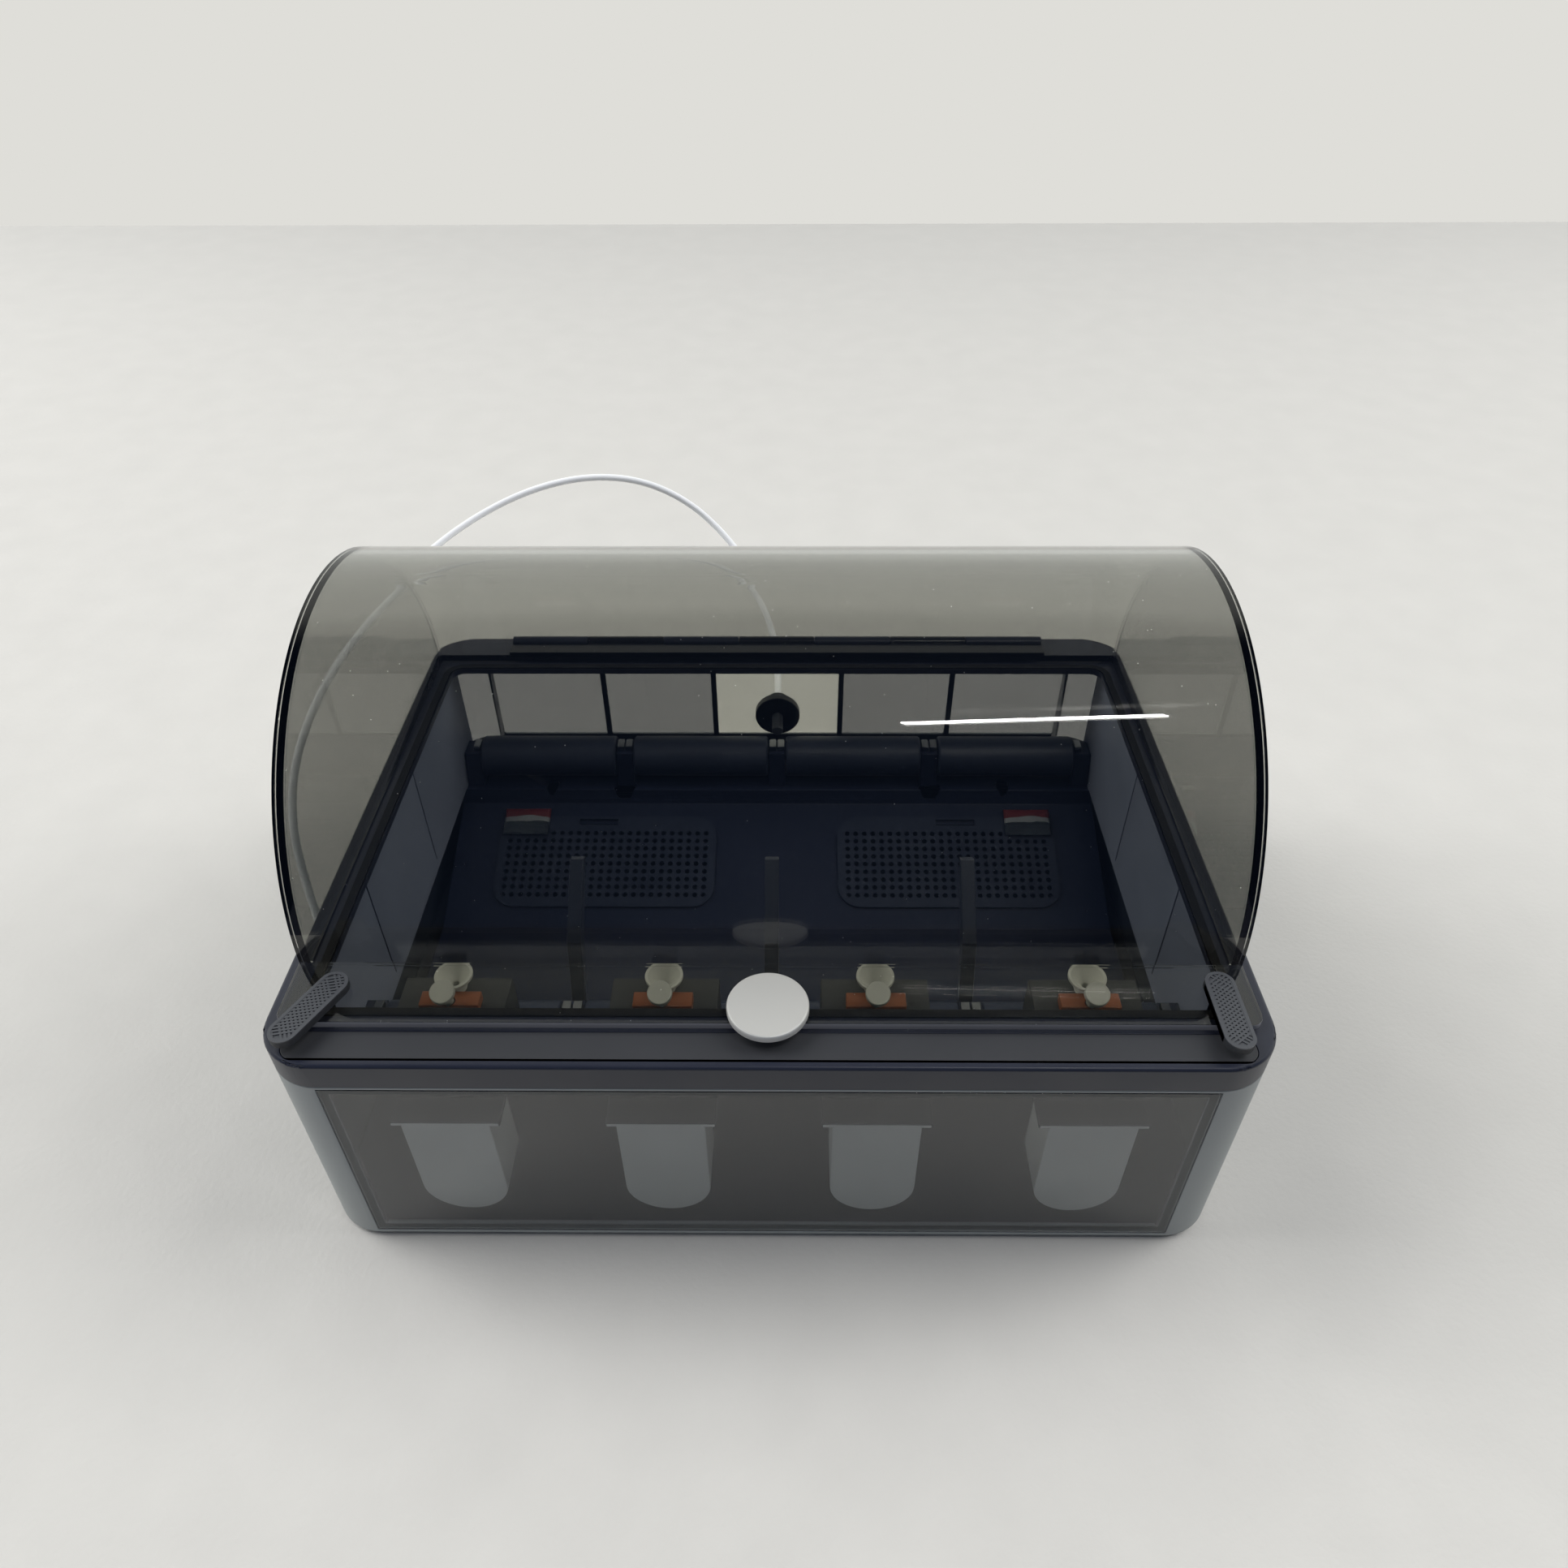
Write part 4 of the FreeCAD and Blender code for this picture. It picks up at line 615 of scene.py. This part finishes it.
# Rollers: black acetal rollers that turn on their own stubs, one pair under each spool.
# They run in moulded stands on the cradle's shelves, and bright spring clips hold the stubs down.
# Acetal is smooth and slippery, so each roller has one soft highlight along its top.
BAYS = range(1, 5)
roller_acetal = moulded_plastic("black_acetal", "#2c3242", 0.45, 0.6 * MM, 0.01 * MM)
for bay in BAYS:
    finished("rear_roller_%d" % bay, roller_acetal, edge=0.2 * MM)
    finished("front_roller_%d" % bay, roller_acetal, edge=0.2 * MM)
finished("roller_stands", cradle_abs, edge=0.4 * MM)
METAL_GRAIN_DEPTH = 0.01 * MM


def metal(name, colour, roughness, grain, gleam=1.0):
    """Metal with a fine even finish that softens its reflections, less mirror-like under an oxide skin."""
    material, tree = surface(name)
    place = add(tree, "ShaderNodeTexCoord").outputs["Object"]
    blast = add(tree, "ShaderNodeTexNoise", {"Vector": place, "Scale": 1 / grain, "Detail": 2.0})
    bump = add(tree, "ShaderNodeBump", {
        "Height": blast.outputs["Fac"], "Distance": METAL_GRAIN_DEPTH, "Strength": 0.5})
    shader = add(tree, "ShaderNodeBsdfPrincipled", {
        "Base Color": linear(colour), "Metallic": gleam, "Roughness": roughness,
        "Normal": bump.outputs["Normal"]})
    add(tree, "ShaderNodeOutputMaterial", {"Surface": shader.outputs["BSDF"]})
    return material


# Bright steel mirrors the room in small sharp glints.
clip_steel = metal("bright_steel", "#9a9b9e", 0.25, 0.4 * MM)
finished("bearing_clips", clip_steel, edge=0.2 * MM)

# Fingers: grey blades that keep the spools apart, moulded in slightly glossy ABS.
# Each plugs into the cradle's trough between two bays.
finger_abs = moulded_plastic("dark_grey_abs", "#2a2e39", 0.3, 0.6 * MM, 0.01 * MM)
finished("bay_fingers", finger_abs, edge=0.4 * MM)

# Feeders: dark housings over pale motor covers, screwed up under the front deck.
# Each has a pale funnel for the filament, an orange-brown idler block and a round release button.
# The ABS is matt and even, and the acetal pieces shine a little, like wax.
feeder_abs = moulded_plastic("dark_feeder_abs", "#2c2d2e", 0.5, 0.6 * MM, 0.015 * MM)
motor_abs = moulded_plastic("pale_grey_abs", "#dcddd2", 0.5, 0.5 * MM, 0.012 * MM)
pale_acetal = moulded_plastic("pale_acetal", "#a0a096", 0.35, 0.6 * MM, 0.008 * MM)
idler_acetal = moulded_plastic("orange_brown_acetal", "#7a4427", 0.4, 0.6 * MM, 0.01 * MM)
# The plate on top of each motor cover is as dark as the housings that it hangs from.
FLANGE_DEPTH = 2.7 * MM
flange_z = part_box("motor_cover_1")[1].z - FLANGE_DEPTH
for bay in BAYS:
    finished("feeder_housing_%d" % bay, feeder_abs, edge=0.4 * MM)
    cup = finished("motor_cover_%d" % bay, motor_abs, edge=0.5 * MM)
    cup.data.materials.append(feeder_abs)
    for face in cup.data.polygons:
        face.material_index = int(face.center.z > flange_z)
    finished("inlet_funnel_%d" % bay, pale_acetal, edge=0.25 * MM)
    finished("release_button_%d" % bay, pale_acetal, edge=0.4 * MM)
finished("idler_blocks", idler_acetal, edge=0.4 * MM)

# Hinge: moulded knuckles of the frame's bracket and the lid's leaf, side by side on one steel pin.
# The leaf is bonded along the dome's rear edge, and its acetal is glossy, with thin bright lines.
finished("hinge_bracket", frame_abs, edge=0.3 * MM)
hinge_acetal = moulded_plastic("gloss_black_acetal", "#17171c", 0.25, 0.6 * MM, 0.005 * MM)
finished("hinge_leaf", hinge_acetal, edge=0.3 * MM)
finished("hinge_pin", clip_steel, edge=0.1 * MM)

# Lid: smoke-tinted polycarbonate, a bent dome with half-round end walls and a flat apron along its foot.
# The sheets are bonded with solvent, so light runs on inside from one to the next without a border.
# The smoke tint greys what lies behind, and dust shows as pale points on it.
lid_sheet = clear_sheet("tinted_lid_sheet", "#c5c5c0", "#dededb", 0.01, 1.45, dust=0.45)
end_sheet = clear_sheet("tinted_end_sheet", "#b6b6b2", "#d6d6d3", 0.01, 1.45, dust=0.45)
apron_sheet = clear_sheet("clear_apron_sheet", "#cfcfca", "#e3e3e0", 0.01, 1.45, dust=0.45)
# Black cement bonds the hinge's leaf along the rear foot. The black band runs the foot's whole width and
# under the end walls: painted shade where the lid sits on the seal.
cement_and_painted_shade = moulded_plastic("cement_and_painted_shade", "#15151a", 0.25, 0.6 * MM, 0.004 * MM)
# The apron's edges are milled, which leaves them frosted, and their pale grey is also a painted highlight
# along the edges.
painted_highlight_edge = moulded_plastic("frosted_sheet_edge_painted_highlight", "#7c7c80", 0.5, 0.4 * MM, 0.01 * MM)
DOME_STEPS = 128
DOME_WALL = 3.0 * MM
RIM_DEPTH = 4.5 * MM
BOND_DEPTH = 1.5 * MM
BOND_MARGIN = 0.05 * MM
DARK_FOOT_HEIGHT = 2.9 * MM
WALL_MARGIN = 0.1 * MM
SQUARE_ON = 0.99
QUITE_FLAT = 0.9999
EDGE_SLOPE = 0.5
dome_low, dome_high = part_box("lid_dome")
dome_radius = dome_high.z - dome_low.z
dome_y = (dome_high.y + dome_low.y) / 2
wall_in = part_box("lid_side_right")[0].x
wall_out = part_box("lid_side_right")[1].x


def swept_dome():
    """The dome, its rims and its end walls, as one half turn of their section about the lid's axis."""
    rim_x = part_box("lid_trims")[1].x
    inside = dome_radius - DOME_WALL
    rim = dome_radius - RIM_DEPTH
    half = ((rim_x, dome_radius), (rim_x, rim), (wall_out, rim), (wall_out, 0.0), (wall_in, 0.0),
            (wall_in, rim), (dome_high.x, rim), (dome_high.x, inside))
    section = half + tuple((-x, r) for x, r in reversed(half))
    work = bmesh.new()
    slices = []
    for i in range(DOME_STEPS + 1):
        angle = math.pi * i / DOME_STEPS
        forward = -math.cos(angle)
        raised = math.sin(angle)
        slices.append([
            work.verts.new((x, dome_y + r * forward, dome_low.z + r * raised)) for x, r in section])
    for first, second in zip(slices, slices[1:]):
        for k, (_, radius) in enumerate(section):
            after = (k + 1) % len(section)
            if radius or section[after][1]:
                work.faces.new((first[k], first[after], second[after], second[k]))
    # Each foot has a face of its own under the left wall, the right wall and the bend between them.
    walls = (2, 3, 4, 5), (10, 11, 12, 13)
    bend = [k for k in range(len(section)) if section[k][1]]
    for foot in (slices[0], slices[-1]):
        for corners in (*walls, bend):
            work.faces.new([foot[k] for k in corners])
    bmesh.ops.remove_doubles(work, verts=work.verts, dist=WELD)
    bmesh.ops.recalc_face_normals(work, faces=work.faces)
    mesh = bpy.data.meshes.new("clear_lid")
    work.to_mesh(mesh)
    work.free()
    return mesh


def bonded_lid():
    """The dome with the apron let into its front foot."""
    sheet = edged("lid_apron", edge=0.3 * MM)
    sheet.attributes.remove(sheet.attributes["custom_normal"])
    for vertex in sheet.vertices:
        if vertex.co.y > dome_low.y - BOND_MARGIN:
            vertex.co.y += BOND_DEPTH
    apron = bpy.data.objects.new("apron", sheet)
    bpy.context.scene.collection.objects.link(apron)
    holder = bpy.data.objects.new("clear_lid", swept_dome())
    bpy.context.scene.collection.objects.link(holder)
    bond = holder.modifiers.new("bond", "BOOLEAN")
    bond.operation = "UNION"
    bond.solver = "EXACT"
    bond.object = apron
    mesh = baked(holder)
    bpy.data.objects.remove(apron)
    smooth(mesh)
    return mesh


lid = new_piece("clear_lid", bonded_lid(), lid_sheet, "lid",
                ["lid_dome", "lid_apron", "lid_side_left", "lid_side_right", "lid_trims"])
BENT_SHEET, APRON_SHEET, CEMENT_AND_SHADE, END_SHEET, HIGHLIGHT_EDGE = range(5)
for finish in (apron_sheet, cement_and_painted_shade, end_sheet, painted_highlight_edge):
    lid.data.materials.append(finish)
for face in lid.data.polygons:
    middle = face.center
    # The rear foot's band is black: cement under the leaf, painted shade along the rest.
    at_dark_foot = middle.y > dome_y and middle.z < dome_low.z + DARK_FOOT_HEIGHT
    at_wall = wall_in - BOND_DEPTH < abs(middle.x) < wall_out + WALL_MARGIN
    if middle.y < dome_low.y:
        face.material_index = HIGHLIGHT_EDGE if abs(face.normal.z) < EDGE_SLOPE else APRON_SHEET
    elif at_dark_foot or at_wall and face.normal.z < -SQUARE_ON:
        face.material_index = CEMENT_AND_SHADE
    elif at_wall and abs(face.normal.x) > SQUARE_ON:
        face.material_index = END_SHEET
    else:
        face.material_index = BENT_SHEET
    # Flat sheets keep one normal all over, so that they don't bend what is seen through them.
    face.use_smooth = max(abs(face.normal.x), abs(face.normal.z)) < QUITE_FLAT

# Knob: a turned aluminium disc on a stem through the apron, bead-blasted and clear anodised.
# A diamond cut on both rims leaves a narrow chamfer, with a painted highlight.
knob_low, knob_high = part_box("lid_knob")
knob_radius = (knob_high.x - knob_low.x) / 2
KNOB_THICKNESS = 3.5 * MM
KNOB_CHAMFER = 0.8 * MM
KNOB_STEM = 2.8 * MM
KNOB_COLLAR = 5.6 * MM
KNOB_LIFT = 0.8 * MM
KNOB_STEPS = 96
KNOB_SHARP_FROM = 12
CHAMFER_SLOPES = (0.2, 0.98)


def turned_knob():
    """The disc, its collar and its stem, turned from one profile. The chamfers take the second finish."""
    top = knob_high.z
    base = top - KNOB_THICKNESS
    seat = base - KNOB_LIFT
    face_radius = knob_radius - KNOB_CHAMFER
    profile = (
        (0.0, knob_low.z), (KNOB_STEM, knob_low.z), (KNOB_STEM, seat), (KNOB_COLLAR, seat),
        (KNOB_COLLAR, base), (face_radius, base), (knob_radius, base + KNOB_CHAMFER),
        (knob_radius, top - KNOB_CHAMFER),
        (knob_radius - KNOB_CHAMFER / 3, top - KNOB_CHAMFER / 4), (face_radius, top), (0.0, top))
    middle = Vector(((knob_low.x + knob_high.x) / 2, (knob_low.y + knob_high.y) / 2, 0))
    work = bmesh.new()
    points = [work.verts.new(middle + Vector((r, 0, z))) for r, z in profile]
    line = [work.edges.new(pair) for pair in zip(points, points[1:])]
    bmesh.ops.spin(
        work, geom=points + line, cent=middle, axis=(0, 0, 1), angle=2 * math.pi, steps=KNOB_STEPS)
    bmesh.ops.remove_doubles(work, verts=work.verts, dist=WELD)
    bmesh.ops.recalc_face_normals(work, faces=work.faces)
    for face in work.faces:
        face.material_index = int(CHAMFER_SLOPES[0] < abs(face.normal.z) < CHAMFER_SLOPES[1])
    mesh = bpy.data.meshes.new("turned_knob")
    work.to_mesh(mesh)
    work.free()
    smooth(mesh, KNOB_SHARP_FROM)
    return mesh


# The blasted and anodised skin scatters most of the light, so the disc is an even pale grey.
blasted_aluminium = metal("blasted_aluminium", "#cfcec9", 0.42, 0.3 * MM, gleam=0.45)
knob = new_piece("turned_knob", turned_knob(), blasted_aluminium, "lid", ["lid_knob"])
# The diamond cut is smoother, and its near-white, half-diffuse finish is a painted highlight, so the chamfer
# shows as a thin light ring.
cut_painted_highlight = metal("diamond_cut_painted_highlight", "#f2f2f0", 0.2, 0.3 * MM, gleam=0.5)
knob.data.materials.append(cut_painted_highlight)

# Latch levers: soft grey turn buttons of TPU on spindles through the apron's front corners.
# Each is a round-ended pad with a smooth raised rim round a field of fine crossed grip ribs.
# The rubbery skin is dull, so the ribs show by their shade alone.
LATCH_LENGTH = 35 * MM
LATCH_WIDTH = 11 * MM
LATCH_RIM = 1.3 * MM
LATCH_FIELD_DROP = 0.5 * MM
LATCH_SEAT = 3.3 * MM
SPINDLE_RADIUS = 2.2 * MM
RIB_PITCH = 1.8 * MM
RIB_WIDTH = 0.8 * MM
RIB_SLANT = math.radians(38)
RIB_ROW = 1.7
RIB_FIELD = 0.98
ROUND_END = 0.496
END_STEPS = 16
SPINDLE_SIDES = 32
# The bars are centred on the pad's seat, so their height is twice what shows, a little less for one way.
RIB_LAYERS = ((1.0, 1.96), (-1.0, 1.92))
LATCHES = {"left": math.radians(63.5), "right": math.radians(90.0)}


def grip_lever(name, turn, finish):
    """A lever's pad, rim, crossed ribs and spindle, turned to where it stands."""
    low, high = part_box("latch_lever_" + name)
    sizes = {
        "Length": LATCH_LENGTH, "Width": LATCH_WIDTH, "Rim": LATCH_RIM, "Field Drop": LATCH_FIELD_DROP,
        "Pad Height": high.z - low.z - LATCH_SEAT, "Ribs": int(LATCH_LENGTH * RIB_ROW / RIB_PITCH),
        "Rib Pitch": RIB_PITCH, "Rib Width": RIB_WIDTH, "Rib Start": -LATCH_LENGTH * RIB_ROW / 2,
        "Slant": RIB_SLANT, "Seat": LATCH_SEAT, "Spindle Radius": SPINDLE_RADIUS}
    tree, size = size_tree("grip_lever", sizes)

    def stadium(share):
        """The pad's outline, drawn in by a share of the rim's width."""
        long, wide = [
            add(tree, "ShaderNodeMath", {0: size["Rim"], 1: -2.0 * share, 2: size[title]},
                operation="MULTIPLY_ADD").outputs[0] for title in ("Length", "Width")]
        end = add(tree, "ShaderNodeMath", {0: wide, 1: ROUND_END}, operation="MULTIPLY").outputs[0]
        blank = add(tree, "GeometryNodeCurvePrimitiveQuadrilateral", {"Width": long, "Height": wide})
        return add(tree, "GeometryNodeFilletCurve", {
            "Curve": blank.outputs["Curve"], "Radius": end, "Count": END_STEPS}, mode="POLY").outputs["Curve"]

    floor_height = add(tree, "ShaderNodeMath", {0: size["Pad Height"], 1: size["Field Drop"]},
                       operation="SUBTRACT").outputs[0]
    pad = plate_of(tree, stadium(0.0), floor_height)
    ring = add(tree, "GeometryNodeJoinGeometry", {"Geometry": [stadium(0.0), stadium(1.0)]})
    rim = plate_of(tree, ring.outputs["Geometry"], size["Pad Height"])
    field = plate_of(tree, stadium(RIB_FIELD), size["Pad Height"])
    start = add(tree, "ShaderNodeCombineXYZ", {"X": size["Rib Start"]}).outputs["Vector"]
    step = add(tree, "ShaderNodeCombineXYZ", {"X": size["Rib Pitch"]}).outputs["Vector"]
    line = add(tree, "GeometryNodeMeshLine", {"Count": size["Ribs"], "Start Location": start, "Offset": step})
    ribs = []
    for lean, height in RIB_LAYERS:
        tall = add(tree, "ShaderNodeMath", {0: size["Pad Height"], 1: height}, operation="MULTIPLY")
        bar_size = add(tree, "ShaderNodeCombineXYZ", {
            "X": size["Rib Width"], "Y": size["Length"], "Z": tall.outputs[0]})
        bar = add(tree, "GeometryNodeMeshCube", {"Size": bar_size.outputs["Vector"]})
        slant = add(tree, "ShaderNodeMath", {0: size["Slant"], 1: lean}, operation="MULTIPLY").outputs[0]
        bars = add(tree, "GeometryNodeInstanceOnPoints", {
            "Points": line.outputs["Mesh"], "Instance": bar.outputs["Mesh"],
            "Rotation": add(tree, "ShaderNodeCombineXYZ", {"Z": slant}).outputs["Vector"]})
        loose = add(tree, "GeometryNodeRealizeInstances", {"Geometry": bars.outputs["Instances"]})
        cut = add(tree, "GeometryNodeMeshBoolean", {"Mesh 2": [
            loose.outputs["Geometry"], field.outputs["Geometry"]]}, operation="INTERSECT")
        ribs.append(cut.outputs["Mesh"])
    rod = add(tree, "GeometryNodeMeshCylinder", {
        "Vertices": SPINDLE_SIDES, "Radius": size["Spindle Radius"], "Depth": size["Seat"]})
    half_down = add(tree, "ShaderNodeMath", {0: size["Seat"], 1: -0.5}, operation="MULTIPLY").outputs[0]
    spindle = add(tree, "GeometryNodeTransform", {
        "Geometry": rod.outputs["Mesh"],
        "Translation": add(tree, "ShaderNodeCombineXYZ", {"Z": half_down}).outputs["Vector"]})
    whole = add(tree, "GeometryNodeJoinGeometry", {"Geometry": [
        pad.outputs["Geometry"], rim.outputs["Geometry"], *ribs, spindle.outputs["Geometry"]]})
    close_tree(tree, whole.outputs["Geometry"], finish)
    mesh = grown_mesh(tree, sizes)
    middle = Vector(((low.x + high.x) / 2, (low.y + high.y) / 2, low.z + LATCH_SEAT))
    mesh.transform(Matrix.Translation(middle) @ Matrix.Rotation(turn, 4, "Z"))
    smooth(mesh)
    return mesh


latch_tpu = moulded_plastic("grey_tpu", "#414347", 0.45, 0.5 * MM, 0.02 * MM)
for name, turn in LATCHES.items():
    mesh = grip_lever(name, turn, latch_tpu)
    new_piece("grip_lever_" + name, mesh, latch_tpu, "latch_" + name, ["latch_lever_" + name])

# Outlet tube: a stiff translucent fluoropolymer tube, pushed into the rear coupler.
# It springs up behind the box, arches round to the left and ends cut square on the table.
TUBE_START = (0, 150.5, 66)
TUBE_POINTS = (
    (0, 176, 66), (-2, 200, 75), (-8, 226, 86), (-19, 250, 97), (-36, 268, 112), (-58, 277, 129),
    (-86, 275, 144), (-118, 267, 150), (-151, 257, 146), (-182, 242, 136), (-207, 220, 125),
    (-223, 190, 117), (-231, 155, 114), (-236, 118, 112), (-239, 82, 106), (-240, 50, 95),
    (-238, 27, 76), (-232, 11, 52), (-223, -6, 30), (-215, -26, 13), (-210, -47, 4.2), (-207, -64, 2.1),
)
TUBE_RADIUS = 2.0 * MM
HAZE_SIZE = 9 * MM
tube_curve = bpy.data.curves.new("outlet_tube_route", "CURVE")
tube_curve.dimensions = "3D"
route = tube_curve.splines.new("NURBS")
route.points.add(len(TUBE_POINTS))
for point, place in zip(route.points, (TUBE_START,) + TUBE_POINTS):
    point.co = [c * MM for c in place] + [1.0]
route.order_u = 3
route.use_endpoint_u = True
route.resolution_u = 8
tube_curve.bevel_depth = TUBE_RADIUS
tube_curve.bevel_resolution = 6
tube_curve.use_fill_caps = True
# Fluoropolymer is milky: it lets light through softly and has a waxy, blurred shine.
material, tree = surface("translucent_fluoropolymer")
haze = add(tree, "ShaderNodeTexNoise", {
    "Vector": add(tree, "ShaderNodeTexCoord").outputs["Object"], "Scale": 1 / HAZE_SIZE, "Detail": 2.0})
milk = add(tree, "ShaderNodeMapRange", {"Value": haze.outputs["Fac"], "To Min": 0.25, "To Max": 0.4})
shader = add(tree, "ShaderNodeBsdfPrincipled", {
    "Base Color": linear("#f6f7f8"), "Roughness": milk.outputs["Result"], "IOR": 1.38,
    "Transmission Weight": 0.12})
add(tree, "ShaderNodeOutputMaterial", {"Surface": shader.outputs["BSDF"]})
tube = bpy.data.objects.new("outlet_tube_line", tube_curve)
bpy.context.scene.collection.objects.link(tube)
tube_curve.materials.append(material)
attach(tube, "base")
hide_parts("outlet_tube")

# Table: a plain pale top under the box, with its front edge just before the view.
# It is matt, so the box throws only soft shade on it.
TABLE_SIDE = 1.5
TABLE_FRONT = -0.33
TABLE_BACK = 1.5
TABLE_CORNERS = (
    (-TABLE_SIDE, TABLE_FRONT, 0), (TABLE_SIDE, TABLE_FRONT, 0),
    (TABLE_SIDE, TABLE_BACK, 0), (-TABLE_SIDE, TABLE_BACK, 0),
)
table_mesh = bpy.data.meshes.new("table")
table_mesh.from_pydata(TABLE_CORNERS, [], [tuple(range(len(TABLE_CORNERS)))])
floor = bpy.data.objects.new("table", table_mesh)
bpy.context.scene.collection.objects.link(floor)
table_mesh.materials.append(moulded_plastic("pale_table", "#c4c2bd", 0.9, 3.0 * MM, 0.3 * MM, mottle=0.02))

# Light: three soft boxes round the table, a tube lamp above the front, and a room that is bright behind.
# The front of the room is dark, so the clear lid mirrors little and shows what is inside.
FRONT_WALL = "#344159"
BACK_WALL = "#ebede9"
BACKDROP = "#dfded9"
WALL_TURN = (-0.45, 0.35)
CEILING_FADE = (0.74, 0.9)
world = bpy.data.worlds.new("room")
world.use_nodes = True
room = world.node_tree
room.nodes.clear()
heading = add(room, "ShaderNodeTexCoord").outputs["Generated"]
toward = add(room, "ShaderNodeSeparateXYZ", {"Vector": heading})
behind = add(room, "ShaderNodeMapRange", {
    "Value": toward.outputs["Y"], "From Min": WALL_TURN[0], "From Max": WALL_TURN[1]},
    interpolation_type="SMOOTHSTEP")
under_ceiling = add(room, "ShaderNodeMapRange", {
    "Value": toward.outputs["Z"], "From Min": CEILING_FADE[0], "From Max": CEILING_FADE[1],
    "To Min": 1.0, "To Max": 0.0}, interpolation_type="SMOOTHSTEP")
share = add(room, "ShaderNodeMath", {
    0: behind.outputs["Result"], 1: under_ceiling.outputs["Result"]}, operation="MULTIPLY")
# A colour mix has its colours in sockets 6 and 7, and the result in socket 2.
wall = add(room, "ShaderNodeMix", {"Factor": share.outputs[0]}, data_type="RGBA")
wall.inputs[6].default_value = linear(FRONT_WALL)
wall.inputs[7].default_value = linear(BACK_WALL)
glow = add(room, "ShaderNodeBackground", {"Color": wall.outputs[2], "Strength": 1.0})
# Past the table's edge the view, also through clear plastic, shows a plain backdrop of the table's tone.
backdrop = add(room, "ShaderNodeBackground", {"Color": linear(BACKDROP), "Strength": 1.0})
path = add(room, "ShaderNodeLightPath").outputs
onward = add(room, "ShaderNodeMath", {
    0: path["Is Camera Ray"], 1: path["Is Transmission Ray"]}, operation="MAXIMUM")
bounces = add(room, "ShaderNodeMath", {0: path["Diffuse Depth"], 1: path["Glossy Depth"]}, operation="ADD")
# Half a bounce lies between none and one.
straight = add(room, "ShaderNodeMath", {0: bounces.outputs[0], 1: 0.5}, operation="LESS_THAN")
looking = add(room, "ShaderNodeMath", {0: onward.outputs[0], 1: straight.outputs[0]}, operation="MULTIPLY")
seen = add(room, "ShaderNodeMixShader", {
    0: looking.outputs[0], 1: glow.outputs["Background"], 2: backdrop.outputs["Background"]})
add(room, "ShaderNodeOutputWorld", {"Surface": seen.outputs["Shader"]})
bpy.context.scene.world = world
bpy.context.scene.view_settings.view_transform = "Standard"


def panel_light(name, place, target, size_x, size_y, power):
    """A lamp with a flat rectangular face that looks at its target."""
    light = bpy.data.lights.new(name, "AREA")
    light.shape = "RECTANGLE"
    light.size = size_x
    light.size_y = size_y
    light.energy = power
    lamp = bpy.data.objects.new(name, light)
    bpy.context.scene.collection.objects.link(lamp)
    lamp.location = place
    lamp.rotation_euler = (Vector(target) - Vector(place)).to_track_quat("-Z", "Y").to_euler()
    lamp.visible_camera = False
    return lamp


softboxes = (
    panel_light("left_softbox", (-2.3, 0.5, 2.1), (0.0, 0.2, 0.0), size_x=1.6, size_y=3.0, power=92),
    panel_light("right_softbox", (2.3, 0.5, 2.1), (0.0, 0.2, 0.0), size_x=1.6, size_y=3.0, power=72),
    panel_light("front_softbox", (-0.6, -1.2, 0.25), (0.0, 0.0, 0.05), size_x=1.2, size_y=0.4, power=2.9),
)
for softbox in softboxes:
    # Flags keep the boxes themselves out of the lid's reflections.
    softbox.visible_glossy = False
    softbox.visible_transmission = False
panel_light("tube_lamp", (0.44, -0.604, 1.73), (0.3, -0.05, 0.2), size_x=0.48, size_y=0.035, power=4)

# Camera: a hand-held view from above the front, looking down at the lid.
# Its place and turn were fitted to the tub's edges.
CAMERA_PLACE = Vector((9.27, -379.32, 443.79)) * MM
CAMERA_PITCH = 0.6947
CAMERA_YAW = 0.0114
CAMERA_ROLL = -0.0057
FOCAL_PIXELS = 1382.6
PICTURE_PIXELS = 1932
SENSOR = 36.0
NEAR_LIMIT = 10 * MM
across = Vector((math.cos(CAMERA_YAW), math.sin(CAMERA_YAW), 0))
level = Vector((-math.sin(CAMERA_YAW), math.cos(CAMERA_YAW), 0))
ahead = level * math.cos(CAMERA_PITCH) - Vector((0, 0, math.sin(CAMERA_PITCH)))
upward = across.cross(ahead)
right = across * math.cos(CAMERA_ROLL) + upward * math.sin(CAMERA_ROLL)
upward = upward * math.cos(CAMERA_ROLL) - across * math.sin(CAMERA_ROLL)
lens = bpy.data.cameras.new("view")
lens.sensor_width = SENSOR
lens.lens = SENSOR * FOCAL_PIXELS / PICTURE_PIXELS
lens.clip_start = NEAR_LIMIT
camera = bpy.data.objects.new("view", lens)
bpy.context.scene.collection.objects.link(camera)
turn = Matrix((right, upward, -ahead)).transposed().to_4x4()
camera.matrix_world = Matrix.Translation(CAMERA_PLACE) @ turn
bpy.context.scene.camera = camera
